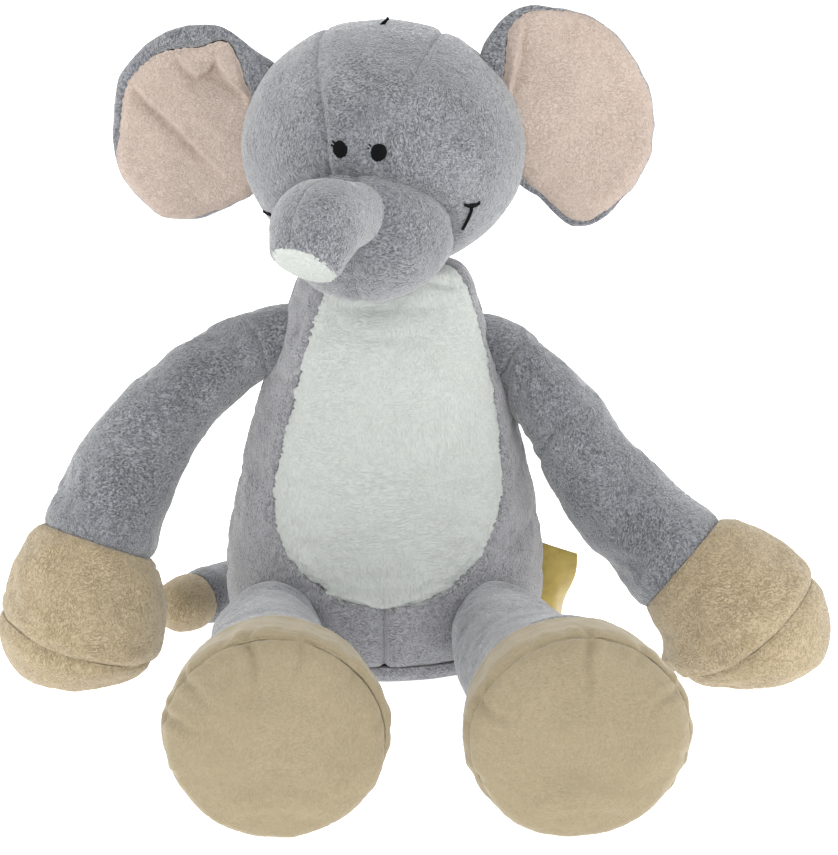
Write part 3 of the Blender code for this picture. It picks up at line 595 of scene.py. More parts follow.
def torso_field():
    z = np.repeat(TORSO_Z[:, None], len(TORSO_A), 1)
    deg = np.repeat(TORSO_A[None, :], len(TORSO_Z), 0)
    wrapped = (deg + 180.0) % 360.0 - 180.0
    half = hermite_table(BELLY, z.ravel(), 1).reshape(z.shape)
    turn = hermite_table(BELLY, z.ravel(), 2).reshape(z.shape)
    near_belly = (np.abs(np.abs(wrapped - turn) - half) < 2.4) & (z > 42)
    front = (np.abs(wrapped) < 1.5) & (z < 44)
    sides = (np.abs(np.abs(wrapped) - 90.0) < 1.5) | (np.abs(np.abs(wrapped) - 180.0) < 1.5)
    pins = near_belly | front | sides
    pins[0] = True
    pins[-1] = True
    return cloth_field("torso_filling", torso_at(z, deg), pins)


TORSO_FIELD = torso_field()


def torso_panel(name, z, deg, material, seams, fringe=0.0, pile_size=1.0):
    """Panel of the torso; fringe is how far its pile laps over the seams beside it."""
    p = torso_at(z, deg)
    if fringe:
        su, whole = arc(p, 1)
        r = np.hypot(p[..., 0], p[..., 1] + 6.0)
        edge = (p[:, :1, :] + 0 * p)
        tuft = noise(edge * np.array([0.2, 0.2, 1.0]), 0.9, 343) * 0.8 + noise(edge * np.array([0.2, 0.2, 1.0]), 2.1, 345) * 0.6 + noise(edge * np.array([0.2, 0.2, 1.0]), 7.0, 347) * 0.7
        low = smooth(75.0, 50.0, z)
        bottom = noise(p * np.array([1.0, 0.2, 0.2]), 1.0, 351) * 0.8 + noise(p * np.array([1.0, 0.2, 0.2]), 2.4, 352) * 0.6 + noise(p, 7.0, 353) * 0.6
        tuft = tuft * (1 - low) + bottom * low
        reach = fringe * (1.0 + 1.1 * tuft)
        push = reach / r * 57.3
        deg = deg + push * (np.exp(-(whole - su) / 2.2) - np.exp(-su / 2.2)) * smooth(42.5, 46.0, z)
        z = z - 0.8 * fringe * (1.0 + 0.8 * bottom) * smooth(52.0, 42.0, z) * 0.6
        p = torso_at(z, deg)
    n = grid_normals(p, (0, -5, 90))
    su, whole = arc(p, 1)
    sv, tall = arc(p, 0)
    h = 0.9 * fbm(p, 42.0, 2, 301) + 0.35 * fbm(p, (30.0, 30.0, 16.0), 2, 307)
    h = h + 0.5 * sample(TORSO_FIELD, (z - BASE_SEAM) / (TORSO_Z[1] - TORSO_Z[0]), np.mod(deg, 360.0) / (TORSO_A[1] - TORSO_A[0]))
    gw, gd = (1.5, 0.6) if fringe else (1.5, 1.9)
    if "u0" in seams:
        h = h + groove(su, width=gw, depth=gd) + puckers(su, sv, 31, size=0.3)
    if "u1" in seams:
        h = h + groove(whole - su, width=gw, depth=gd) + puckers(whole - su, sv, 32, size=0.3)
    if "v0" in seams:
        h = h + groove(sv, width=1.4, depth=0.8, bulge=0.2) + puckers(sv, np.radians(deg) * 62.0, 33, pitch=7.0, reach=11.0, size=0.5)
    if fringe:
        close = np.minimum(su, whole - su)
        h = h + 0.35 * np.exp(-(close / 2.0) ** 2) * (1 + noise(p, 1.3, 361))
    for c, r, d in torso_dents:
        q = np.linalg.norm(p - np.array(c), axis=-1)
        h = h - d * np.exp(-(q / r) ** 2)
    for line, w, d in torso_folds:
        h = h + fold_height(p[..., 0], p[..., 2], line, w, d) * (p[..., 1] < 10)
    h = h + pile(p, 40, pile_size)
    q = p + n * h[..., None]
    q[..., 2] = np.maximum(q[..., 2], 0.0)
    lips = [e for e in ("u0", "u1", "v0", "v1") if e in seams]
    return surface(name, q, n, material, lips=lips)


def fold_height(x, z, line, width, depth):
    """Soft valley along a line of points, fading at both its ends."""
    best = np.full(x.shape, 1e9)
    place = np.zeros(x.shape)
    total = sum(math.dist(a, b) for a, b in zip(line, line[1:]))
    run = 0.0
    for (x0, z0), (x1, z1) in zip(line, line[1:]):
        dx, dz = x1 - x0, z1 - z0
        t = np.clip(((x - x0) * dx + (z - z0) * dz) / (dx * dx + dz * dz), 0, 1)
        d = np.hypot(x - x0 - t * dx, z - z0 - t * dz)
        place = np.where(d < best, (run + t * math.hypot(dx, dz)) / total, place)
        best = np.minimum(best, d)
        run += math.hypot(dx, dz)
    ends = np.clip(np.minimum(place, 1 - place) * 4, 0, 1) ** 0.7
    return -depth * ends * np.exp(-(best / width) ** 2) + 0.3 * depth * ends * np.exp(-((best - 2.2 * width) / width) ** 2)


torso_folds = [
    ([(17.0, 182.0), (26.0, 179.5), (35.0, 176.0)], 1.4, 1.0),
    ([(-43.0, 146.0), (-39.5, 156.0), (-36.0, 165.0)], 1.5, 1.1),
    ([(52.0, 141.0), (49.0, 148.0), (46.5, 156.0)], 1.5, 1.0),
    ([(-20.0, 160.0), (0.0, 158.5), (22.0, 160.5)], 3.0, 0.5),
]
torso_dents = []
for s in (-1, 1):
    torso_dents.append(((s * 50.0, -1.0, 149.0), 15.0, 2.2))     # pulled in round the shoulder seam
    torso_dents.append(((s * 50.0, -45.0, 28.0), 22.0, 2.0))     # and round the hip

Z = np.concatenate([np.linspace(BASE_SEAM, 41.0, 40), np.linspace(41.0, 60.0, 40)[1:], np.linspace(60.0, TOP, 170)[1:]])
for side, label in ((1, "left"), (-1, "right")):
    u = np.linspace(0, 1, 90)
    u = u - 0.05 * np.sin(2 * math.pi * u)
    inner = belly_angle(Z, side)
    zz = np.repeat(Z[:, None], len(u), 1)
    deg = inner[:, None] + (side * 90.0 - inner[:, None]) * u[None, :]
    ob = torso_panel("torso_front_" + label + "_skin", zz, deg, RIMLIT_BODY_GREY, ("u0", "u1", "v0"))
    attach(ob, "torso"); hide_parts("torso_front_" + label)
    u = np.linspace(0, 1, 105)
    zz = np.repeat(Z[:, None], len(u), 1)
    deg = side * (90.0 + 90.0 * u[None, :]) + 0 * zz
    ob = torso_panel("torso_back_" + label + "_skin", zz, deg, RIMLIT_BODY_GREY, ("u0", "u1", "v0"))
    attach(ob, "torso"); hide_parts("torso_back_" + label)

zb = np.concatenate([np.linspace(41.0, 60.0, 46), np.linspace(60.0, TOP, 330)[1:]])
u = np.linspace(0, 1, 150)
u = u - 0.045 * np.sin(2 * math.pi * u)
lo, hi = belly_angle(zb, -1), belly_angle(zb, 1)
deg = lo[:, None] + (hi - lo)[:, None] * u[None, :]
ob = torso_panel("belly_skin", np.repeat(zb[:, None], len(u), 1), deg, CREAM, ("u0", "u1"), fringe=1.3, pile_size=0.7)
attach(ob, "torso"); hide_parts("belly_panel")


def base_skin():
    r = np.linspace(0, 1, 60)
    rim = np.array([(0.0, 0.0), (0.6, 0.0), (0.80, 0.0), (0.88, 0.5), (0.94, 2.2), (0.98, 5.2), (1.0, BASE_SEAM)])
    rr = np.interp(r, np.linspace(0, 1, 7) ** 0.8, rim[:, 0])
    zz = np.interp(r, np.linspace(0, 1, 7) ** 0.8, rim[:, 1])
    a = np.radians(np.linspace(0, 360, 240, endpoint=False))
    cx, cy, rx, ry = 0.0, -4.5, 66.0, 52.5
    p = np.stack([cx + rx * rr[:, None] * np.sin(a), cy - ry * rr[:, None] * np.cos(a), zz[:, None] + 0 * a], -1)
    n = grid_normals(p, (0, -4, 40), closed_u=True)
    n[0] = (0, 0, -1)
    sv, tall = arc(p, 0)
    along = np.radians(np.degrees(a))[None, :] * 60 + 0 * sv
    h = groove(tall - sv, width=1.4, depth=0.8, bulge=0.2) + puckers(tall - sv, along, 33, pitch=7.0, reach=11.0, size=0.5) + pile(p, 40) * smooth(0, 1.5, p[..., 2])
    q = p + n * h[..., None]
    q[..., 2] = np.maximum(q[..., 2], 0.0)
    ob = surface("torso_base_skin", q, n, RIMLIT_BODY_GREY, closed_u=True, lips=("v1",), poles=("v0",))
    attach(ob, "torso"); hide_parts("torso_base", "torso_stuffing", "bean_pouch")


base_skin()

# ------------------------------------------------------------------ head
HEAD_C = np.array([0.0, -12.0, 240.0])
HEAD_R = np.array([63.5, 58.0, 55.0])
YAW = math.radians(-11.0)
ROT = np.array([[math.cos(YAW), -math.sin(YAW), 0], [math.sin(YAW), math.cos(YAW), 0], [0, 0, 1.0]])
MUZZLE_L = np.array([0.0, -37.0, -28.5])
MUZZLE_R = np.array([38.5, 33.0, 33.5])
GUSSET = [(-20.0, 12.5), (-12.0, 12.0), (0.0, 10.5), (25.0, 14.5), (50.0, 20.5), (80.0, 24.0), (110.0, 22.0), (150.0, 16.0),
          (185.0, 10.0), (215.0, 5.0), (232.0, 0.3)]


def head_local(over, side):
    p, q = np.radians(over), np.radians(side)
    return np.stack([HEAD_R[0] * np.sin(q), -HEAD_R[1] * np.cos(q) * np.cos(p), HEAD_R[2] * np.cos(q) * np.sin(p)], -1)


def to_world(local):
    return HEAD_C + local @ ROT.T


def outside_muzzle(local):
    """Rough distance outside the muzzle's dome, in millimetres."""
    q = (local - MUZZLE_L) / MUZZLE_R
    return (np.linalg.norm(q, axis=-1) - 1.0) * 34.0


def outside_head(local):
    return (np.linalg.norm(local / HEAD_R, axis=-1) - 1.0) * 58.0


def head_form(p):
    return 1.0 * fbm(p, 34.0, 2, 411) + 0.35 * fbm(p, 14.0, 2, 417)


def head_skin(name, over, side, seams, seed, closed_u, poles=()):
    loc = head_local(over, side)
    nl = loc / HEAD_R ** 2
    nl = nl / np.linalg.norm(nl, axis=-1, keepdims=True)
    su, whole_u = arc(loc, 1)
    sv, whole_v = arc(loc, 0)
    h = head_form(loc)
    m = outside_muzzle(loc)
    h = h + np.where(m > 0, groove(np.abs(m), 1.8, 1.3, 0.35), -1.3 - np.clip(-m, 0, 3.0) * 0.8)
    h = h + np.where(m > 0, puckers(np.abs(m), np.degrees(np.arctan2(loc[..., 0], loc[..., 2] + 28)) * 0.6, 77, size=0.55), 0)
    if "v0" in seams:
        h = h + groove(sv, 1.4, 1.1, 0.35) + puckers(sv, su, seed + 1, size=0.5, pitch=6.5)
    if "u0" in seams:
        h = h + groove(su, 1.4, 1.1, 0.35) + puckers(su, sv, seed + 1, size=0.5, pitch=6.5)
    if "u1" in seams:
        h = h + groove(whole_u - su, 1.4, 1.1, 0.35) + puckers(whole_u - su, sv, seed + 2, size=0.5, pitch=6.5)
    h = h + pile(loc, 60)
    loc2 = loc + nl * h[..., None]
    p = to_world(loc2)
    n = nl @ ROT.T
    keep = m > -5.0
    lips = [e for e in ("u0", "u1", "v0", "v1") if e in seams]
    return surface(name, p, n, GREY, closed_u=closed_u, lips=lips, keep=keep, poles=poles)


over = np.linspace(-14.0, 231.0, 300)
half = hermite_table(GUSSET, over, 1)
u = np.linspace(-1, 1, 80)
u = u + 0.05 * np.sin(math.pi * u)
gus = head_skin("forehead_skin", np.repeat(over[:, None], len(u), 1), half[:, None] * u[None, :], ("u0", "u1"), 51, False)
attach(gus, "head"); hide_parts("head_forehead_panel", "head_stuffing")

for side, label in ((1, "left"), (-1, "right")):
    ov = np.linspace(-20.0, 340.0, 380, endpoint=False)
    wrapped = (ov + 40.0) % 360.0 - 40.0
    e = np.where((wrapped > -20) & (wrapped < 232.0), hermite_table(GUSSET, np.clip(wrapped, -20, 232), 1), 0.0)
    e = np.where(wrapped <= -20, 12.5 * np.clip(1 - (-20 - wrapped) / 20.0, 0, 1), e)
    v = np.linspace(0, 1, 130) ** 1.15
    sd = side * (e[None, :] + (90.0 - e[None, :]) * v[:, None])
    ob = head_skin("head_side_" + label + "_skin", np.repeat(ov[None, :], len(v), 0), sd, ("v0",), 55 + side, True, poles=("v1",))
    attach(ob, "head"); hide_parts("head_side_" + label)

for side, label in ((1, "left"), (-1, "right")):
    a = np.radians(np.linspace(0, 360, 220, endpoint=False))
    q = np.radians(np.linspace(0.0, 90.0, 90))
    loc = MUZZLE_L + np.stack([side * MUZZLE_R[0] * np.sin(q)[:, None] + 0 * a, -MUZZLE_R[1] * np.cos(q)[:, None] * np.cos(a),
                               MUZZLE_R[2] * np.cos(q)[:, None] * np.sin(a)], -1)
    nl = (loc - MUZZLE_L) / MUZZLE_R ** 2
    nl = nl / np.linalg.norm(nl, axis=-1, keepdims=True)
    sv, _ = arc(loc, 0)
    m = outside_head(loc)
    h = 0.9 * fbm(loc, 26.0, 2, 431) + groove(sv, depth=1.3) + puckers(sv, np.degrees(a)[None, :] * 0.55 + 0 * sv, 91, size=0.6)
    h = h + np.where(m > 0, groove(np.abs(m), 2.2, 1.1, 0.3), -1.1)
    h = h + puckers(np.abs(m), np.degrees(np.arctan2(loc[..., 0], loc[..., 2] + 28)) * 0.6, 78, size=0.55)
    h = h + pile(loc, 60)
    p = to_world(loc + nl * h[..., None])
    ob = surface("muzzle_" + label + "_skin", p, nl @ ROT.T, GREY, closed_u=True, lips=("v0",), keep=m > -4.0, poles=("v1",))
    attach(ob, "head"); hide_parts("muzzle_" + label)


def lumpy_ball(name, centre, radius, material, seed, squash=(1, 1, 1)):
    a = np.radians(np.linspace(0, 360, 120, endpoint=False))
    b = np.radians(np.linspace(-90, 90, 70))
    c = np.array(centre, float)
    d = np.stack([np.cos(b)[:, None] * np.cos(a), np.cos(b)[:, None] * np.sin(a), np.sin(b)[:, None] + 0 * a], -1)
    p = c + d * radius * np.array(squash)
    h = 0.8 * fbm(p, 14.0, 2, seed) + pile(p, seed)
    q = p + d * h[..., None]
    return surface(name, q, d, material, closed_u=True, poles=("v0", "v1"))


ob = lumpy_ball("neck_skin", (0, -3.0, 188.0), 27.5, GREY, 71)
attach(ob, "neck"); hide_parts("neck_stuffing")


# ------------------------------------------------------------------ tubes
class Tube:
    """Limb: rings along a smooth centre line, with two half widths; lean turns the rings by listed angles."""

    def __init__(self, rows, ref, lean=None, heading=None):
        self.rows = [(i / (len(rows) - 1), *row[0], row[1], row[2]) for i, row in enumerate(rows)]
        self.ref = np.array(ref, float)
        self.lean = None if lean is None else [(i / (len(lean) - 1), v) for i, v in enumerate(lean)]
        self.heading = heading

    def column(self, t, k):
        t = np.asarray(t, float)
        return hermite_table(self.rows, t.ravel(), k).reshape(t.shape)

    def centre(self, t):
        return np.stack([self.column(t, k) for k in (1, 2, 3)], -1)

    def frame(self, t):
        t = np.asarray(t, float)
        if self.lean is not None:
            lean = np.radians(hermite_table(self.lean, t.ravel(), 1).reshape(t.shape))[..., None]
            h = np.array(self.heading, float)
            d = h * np.cos(lean) + np.array([0, 0, 1.0]) * np.sin(lean)
            b = np.cross([0, 0, 1.0], h)
            b = np.broadcast_to(b / np.linalg.norm(b), d.shape)
            return d, np.cross(b, d), b
        e = 0.012
        d = self.centre(np.minimum(t + e, 1)) - self.centre(np.maximum(t - e, 0))
        d = d / np.linalg.norm(d, axis=-1, keepdims=True)
        a = np.cross(d, self.ref)
        a = a / np.linalg.norm(a, axis=-1, keepdims=True)
        return d, a, np.cross(d, a)

    def points(self, t, turns):
        """Surface points; t is a list of rings, or a grid of places for each ring and turn."""
        t = np.asarray(t, float)
        if t.ndim == 1:
            t = np.repeat(t[:, None], len(turns), 1)
        d, a, b = self.frame(t)
        ang = 2 * math.pi * turns
        return self.centre(t) + a * (self.column(t, 4) * np.cos(ang))[..., None] + b * (self.column(t, 5) * np.sin(ang))[..., None]


def floor_press(p, lift=0.0, soft=3.0):
    """Flatten softly where cloth rests on the ground."""
    z = p[..., 2] - lift
    p = p.copy()
    p[..., 2] = lift + np.where(z > soft, z, np.where(z > -soft, (z + soft) ** 2 / (4 * soft), 0.0))
    return p


class TubeField:
    """Simulated filling of a whole limb, pinned round its seams."""

    def __init__(self, name, tube, seams, t_from, t_to, nv=48, nu=40, lengthwise=(0.5,), gain=0.7):
        self.span = (t_from, t_to, nv, nu)
        self.gain = gain
        t = np.linspace(t_from, t_to, nv)
        turns = np.linspace(0, 1, nu, endpoint=False)
        p = tube.points(t, turns)
        step = (t_to - t_from) / (nv - 1)
        pins = np.zeros((nv, nu), bool)
        for seam in seams:
            at = seam(turns) if callable(seam) else np.full(nu, float(seam))
            pins |= np.abs(t[:, None] - at[None, :]) < 0.55 * step
        for u in lengthwise:
            gap = np.abs((turns - u + 0.5) % 1.0 - 0.5)
            pins[:, gap < 0.5 / nu] = True
        pins[0] = True
        pins[-1] = True
        self.field = cloth_field(name, p, pins)

    def __call__(self, ts, turns):
        a, b, nv, nu = self.span
        return self.gain * sample(self.field, (ts - a) / (b - a) * (nv - 1), turns * nu)


def tube_skin(name, tube, t0, t1, material, nu, nv, seed, seam0=True, seam1=True, floor=True, creases=None,
              pole=False, pucker=1.0, pile_size=1.0, depth=1.7, girth=26.0, form=1.0, width=1.7, filling=None):
    """Sleeve between two seams; t0 and t1 are places on the tube, or functions of the turn round it."""
    turns = np.linspace(0, 1, nu, endpoint=False)
    a = t0(turns) if callable(t0) else np.full(nu, float(t0))
    b = t1(turns) if callable(t1) else np.full(nu, float(t1))
    k = np.linspace(0, 1, nv)
    if seam0 or seam1:
        k = k - 0.055 * np.sin(2 * math.pi * k)
    ts = a[None, :] + (b - a)[None, :] * k[:, None]
    p = tube.points(ts, turns)
    c = tube.centre(ts)
    n = grid_normals(p, lambda q: q - c, closed_u=True)
    sv, tall = arc(p, 0)
    along = turns[None, :] * 2 * math.pi * girth + 0 * sv
    h = form * (0.9 * fbm(p, 24.0, 2, seed) + 0.22 * fbm(p, 10.0, 2, seed + 4))
    if seam0:
        h = h + groove(sv, depth=depth, width=width) + puckers(sv, along, seed + 1, pitch=5.0, size=1.2 * pucker)
    if seam1:
        h = h + groove(tall - sv, depth=depth, width=width) + puckers(tall - sv, along, seed + 2, pitch=5.0, size=1.2 * pucker)
    if filling is not None:
        h = h + filling(ts, turns[None, :] + 0 * sv)
    if creases is not None:
        h = h + creases(p, ts, turns[None, :] + 0 * sv, sv, tall - sv)
    h = h + pile(p, seed, pile_size)
    q = p + n * h[..., None]
    if floor:
        q = floor_press(q)
    lips = (("v0",) if seam0 else ()) + (("v1",) if seam1 and not pole else ())
    return surface(name, q, n, material, closed_u=True, lips=lips,
                   poles=(("v1",) if pole else ()) + (() if seam0 else ("v0",)))


ARM_LEFT = [
    ((33.0, -0.5, 153.5), 7.5, 7.5), ((45.0, -1.5, 151.5), 9.5, 10.0), ((54.0, -3.5, 147.0), 11.5, 12.0), ((62.0, -6.0, 139.5), 13.6, 14.0),
    ((71.5, -9.5, 127.5), 16.6, 16.6), ((83.5, -16.0, 111.5), 19.0, 18.5),
    ((96.0, -24.0, 93.0), 21.5, 20.0), ((111.0, -32.0, 75.5), 23.5, 21.5), ((132.0, -41.0, 57.0), 26.0, 24.0),
    ((150.0, -47.0, 43.0), 34.8, 30.0), ((160.0, -50.0, 31.0), 39.0, 33.0), ((166.0, -52.0, 17.0), 37.0, 31.0),
    ((168.0, -53.0, 7.0), 27.0, 23.0), ((168.5, -53.0, 2.0), 10.0, 9.0),
]
ARM_RIGHT = [
    ((-30.0, -0.5, 152.0), 11.0, 11.0), ((-42.0, -1.5, 151.0), 14.4, 14.0), ((-53.0, -3.0, 148.6), 15.4, 15.0), ((-64.0, -5.5, 144.6), 16.2, 15.6),
    ((-76.0, -9.0, 137.5), 17.4, 17.0),
    ((-92.0, -15.0, 125.0), 19.6, 18.5), ((-106.0, -23.0, 110.0), 22.0, 20.0), ((-118.0, -32.0, 92.0), 23.5, 21.5),
    ((-128.5, -41.0, 67.0), 26.0, 24.0), ((-133.5, -46.0, 50.0), 34.0, 30.0), ((-136.0, -49.0, 32.0), 37.0, 34.0),
    ((-138.0, -51.0, 15.0), 34.0, 31.0), ((-138.5, -52.0, 5.0), 24.0, 22.0), ((-138.5, -52.0, 2.0), 9.0, 8.0),
]


def limb_creases(centres, seed):
    def f(p, t, turn, s0, s1):
        h = 0.0
        for tc, width, depth, phase in centres:
            wob = 0.010 * np.sin(2 * math.pi * turn * 2 + phase) + 0.012 * noise(p, 15.0, seed)
            side = 0.45 + 0.55 * np.cos(2 * math.pi * turn - phase)
            h = h - depth * np.exp(-((t - tc - wob) / width) ** 2) * np.clip(side, 0, 1) ** 1.5
        return h
    return f


for side, label, rows in ((1, "left", ARM_LEFT), (-1, "right", ARM_RIGHT)):
    arm = Tube(rows, (0, 1, 0))
    if side > 0:
        cuff = lambda u: 8.15 / 13 + 0 * u
        sole = lambda u: (10.60 + 0.62 * -np.cos(2 * math.pi * u) + 0.04 * np.sin(6 * math.pi * u + 1)) / 13
        cr = limb_creases([(0.215, 0.008, 2.4, 1.9), (0.395, 0.008, 2.0, 2.0), (0.45, 0.012, 0.6, 2.2)], 121)
    else:
        cuff = lambda u: 8.1 / 13 + 0 * u
        sole = lambda u: (10.62 + 0.50 * np.cos(2 * math.pi * u) + 0.04 * np.sin(6 * math.pi * u + 2)) / 13
        cr = limb_creases([(0.20, 0.009, 1.4, 1.4), (0.275, 0.010, 0.9, 2.0), (0.48, 0.014, 0.6, 1.2)], 119)
    joint = "arm_" + label
    fill = TubeField("arm_filling_" + label, arm, (cuff, sole), 0.14, 0.99, nv=56, nu=36, lengthwise=(0.62,))
    ob = tube_skin("arm_sleeve_" + label + "_skin", arm, 0.0, cuff, GREY, 160, 210, 130 + side, seam0=False, creases=cr, filling=fill)
    s = side
    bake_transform(ob)
    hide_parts("arm_sleeve_" + label, "arm_stuffing_" + label)
    ob = tube_skin("hand_" + label + "_skin", arm, cuff, sole, BEIGE, 220, 90, 140 + side, girth=33.0, depth=0.85, width=1.3, pucker=0.45, filling=fill)
    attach(ob, joint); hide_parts("hand_" + label)
    ob = tube_skin("hand_sole_" + label + "_skin", arm, sole, 1.0, BEIGE, 220, 70, 150 + side, seam1=False, pole=True, girth=33.0, depth=0.7, width=1.2, pucker=0.45, filling=fill)
    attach(ob, joint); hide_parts("hand_sole_" + label)
    ob = lumpy_ball("shoulder_" + label + "_skin", (s * 49.5, -1.0, 149.0 if s < 0 else 150.0), 13.0 if s < 0 else 10.0, GREY, 160 + side)
    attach(ob, "shoulder_" + label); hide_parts("shoulder_" + label)

LEG_LEFT = [
    ((43.0, -29.0, 26.0), 10.0, 13.0), ((49.0, -48.0, 26.2), 19.5, 21.5),
    ((54.5, -68.0, 26.8), 24.5, 24.0), ((59.5, -92.0, 28.0), 27.5, 26.5), ((66.0, -125.0, 31.0), 30.0, 29.5),
    ((72.0, -160.0, 36.0), 34.0, 34.0), ((75.5, -182.0, 39.5), 41.0, 39.0), ((77.5, -202.0, 41.5), 44.6, 41.8),
    ((78.2, -211.5, 41.9), 43.2, 40.6), ((78.8, -217.5, 42.3), 38.6, 36.4), ((79.2, -221.6, 42.6), 29.0, 27.5),
    ((79.4, -223.6, 42.8), 17.0, 16.0), ((79.5, -224.4, 42.8), 0.8, 0.8),
]
LEG_RIGHT = [
    ((-43.0, -29.0, 26.0), 10.0, 13.0), ((-48.8, -48.0, 26.2), 19.5, 21.5),
    ((-51.5, -68.0, 26.8), 24.5, 24.0), ((-50.0, -92.0, 28.0), 27.0, 26.5), ((-47.0, -125.0, 31.0), 29.5, 29.5),
    ((-43.5, -160.0, 36.0), 33.5, 34.0), ((-41.5, -182.0, 39.5), 40.5, 39.0), ((-40.2, -202.0, 41.5), 44.2, 41.8),
    ((-39.9, -211.5, 41.9), 42.8, 40.6), ((-39.6, -217.5, 42.3), 38.4, 36.4), ((-39.4, -221.6, 42.6), 29.0, 27.5),
    ((-39.3, -223.6, 42.8), 17.0, 16.0), ((-39.3, -224.4, 42.8), 0.8, 0.8),
]


def foot_puckers(turns_at, flare, seed):
    """Pulled creases that run from the sole seam towards the middle; flare is +1 on the sole, -1 on the foot."""
    def f(p, t, turn, s0, s1):
        s = s0 if flare > 0 else s1
        h = 0.0
        for at, reach, deep in turns_at:
            gap = (turn - at + 0.5) % 1.0 - 0.5
            gap = gap + 0.004 * np.sin(s * 0.35 + seed)
            across = gap * 2 * math.pi * 38.0
            r = reach if flare > 0 else reach * 0.55
            fade = np.exp(-(s / r) ** 2) * smooth(0.0, 2.0, s)
            h = h + fade * (-deep * np.exp(-(across / (1.5 + 0.06 * s)) ** 2)
                            + 0.35 * deep * np.exp(-((np.abs(across) - 4.0) / 2.4) ** 2))
        return h
    return f


for side, label, rows in ((1, "left", LEG_LEFT), (-1, "right", LEG_RIGHT)):
    leg = Tube(rows, (0, 0, 1))
    cuff = 5.75 / 12
    sole = lambda u: (7.90 + 0.16 * -np.sin(2 * math.pi * u) + 0.10 * np.sin(4 * math.pi * u + 1 + side)) / 12
    if side > 0:
        marks = [(0.741, 20.0, 2.0), (0.937, 15.0, 1.6), (0.58, 13.0, 1.4), (0.83, 8.0, 0.8), (0.66, 9.0, 0.8), (0.06, 8.0, 0.8), (0.47, 8.0, 0.7)]
    else:
        marks = [(0.90, 15.0, 1.8), (0.789, 17.0, 2.2), (0.712, 14.0, 1.3), (0.962, 13.0, 1.8), (0.62, 9.0, 0.9), (0.06, 8.0, 0.9), (0.53, 8.0, 0.7)]
    joint = "leg_" + label
    cr = limb_creases([(0.19, 0.012, 1.0, 1.6), (0.30, 0.012, 0.8, 4.6)], 170 + side)
    fill = TubeField("leg_filling_" + label, leg, (cuff, sole), 0.10, 0.985, nv=56, nu=44, lengthwise=(0.25,), gain=0.4)
    ob = tube_skin("leg_sleeve_" + label + "_skin", leg, 0.0, cuff, GREY, 150, 170, 180 + side, seam0=False, creases=cr, filling=fill)
    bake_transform(ob)
    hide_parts("leg_sleeve_" + label, "leg_stuffing_" + label)
    ob = tube_skin("foot_" + label + "_skin", leg, cuff, sole, SOLE, 280, 80, 190 + side, girth=42.0, pucker=0.6, depth=0.8, width=1.5,
                   creases=foot_puckers(marks, -1, side), filling=fill)
    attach(ob, joint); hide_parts("foot_" + label)
    ob = tube_skin("foot_sole_" + label + "_skin", leg, sole, 1.0, SOLE, 280, 110, 200 + side, seam1=False, pole=True,
                   pucker=0.6, depth=0.75, width=1.5, girth=42.0, creases=foot_puckers(marks, 1, side), form=1.4, filling=fill)
    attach(ob, joint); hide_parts("foot_sole_" + label)

# ------------------------------------------------------------------ tail
TAIL = [
    ((-14.0, 50.0, 20.5), 8.0, 8.0), ((-19.0, 57.0, 19.0), 9.0, 9.0),
    ((-38.0, 58.8, 14.8), 11.5, 11.5), ((-60.0, 54.0, 13.0), 12.4, 12.4), ((-79.0, 39.5, 13.2), 12.9, 12.9),
    ((-91.0, 24.0, 13.5), 13.3, 13.3), ((-99.8, 13.0, 13.4), 12.8, 12.8), ((-104.6, 7.8, 13.0), 8.8, 8.8), ((-106.2, 6.6, 12.9), 1.0, 1.0),
]
tail = Tube(TAIL, (0, 0, 1))
ob = tube_skin("tail_sleeve_skin", tail, 0.0, 5.0 / 8, GREY, 90, 110, 210, seam0=False, pucker=0.6, depth=1.0, girth=12.0, form=0.5)
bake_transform(ob)
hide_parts("tail_sleeve", "tail_stuffing")
ob = tube_skin("tail_tip_skin", tail, 5.0 / 8, 1.0, BEIGE, 90, 80, 214, seam1=False, pole=True, pucker=0.6, depth=1.0, girth=12.0, form=0.5)
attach(ob, "tail"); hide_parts("tail_tip")

# ------------------------------------------------------------------ trunk
TRUNK = [
    ((-10.5, -71.0, 221.2), 13.0, 14.0), ((-16.0, -80.0, 222.0), 14.8, 16.0), ((-20.4, -86.0, 222.6), 16.6, 18.2),
    ((-25.2, -92.5, 221.4), 18.2, 19.8), ((-28.6, -99.0, 216.0), 17.8, 19.0), ((-31.0, -105.4, 208.2), 14.8, 15.6),
    ((-31.8, -107.6, 205.6), 13.2, 13.8),
]
trunk = Tube(TRUNK, (1, 0, 0), lean=[4.0, 0.0, -10.0, -30.0, -48.0, -50.0, -50.0], heading=(-0.505, -0.863, 0.0))


def trunk_skin(name, arc_from, arc_to, seed):
    ts = np.linspace(0, 1, 130)
    turns = np.linspace(arc_from, arc_to, 110)
    p = trunk.points(ts, turns)
    c = trunk.centre(np.repeat(ts[:, None], len(turns), 1))
    n = grid_normals(p, lambda q: q - c)
    su, whole = arc(p, 1)
    sv, tall = arc(p, 0)
    h = 0.5 * fbm(p, 16.0, 2, 220) + groove(su, depth=0.45, bulge=0.1, width=1.1) + groove(whole - su, depth=0.45, bulge=0.1, width=1.1)
    h = h + groove(tall - sv, depth=0.9, width=1.3, bulge=0.3, at=4.0, spread=2.5)
    h = h + puckers(tall - sv, su + 200 * (seed % 2), seed, pitch=4.0, size=0.6, reach=5.0)
    h = h + pile(p, 60)
    q = p + n * h[..., None]
    return surface(name, q, n, GREY, lips=("u0", "u1", "v1"))


for nm, lo_t, hi_t, sd in (("left", 0.0, 0.5, 221), ("right", 0.5, 1.0, 222)):
    ob = trunk_skin("trunk_" + nm + "_skin", lo_t, hi_t, sd)
    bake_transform(ob)
    if nm == "left":
        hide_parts("trunk_left", "trunk_stuffing")
    else:
        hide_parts("trunk_right")


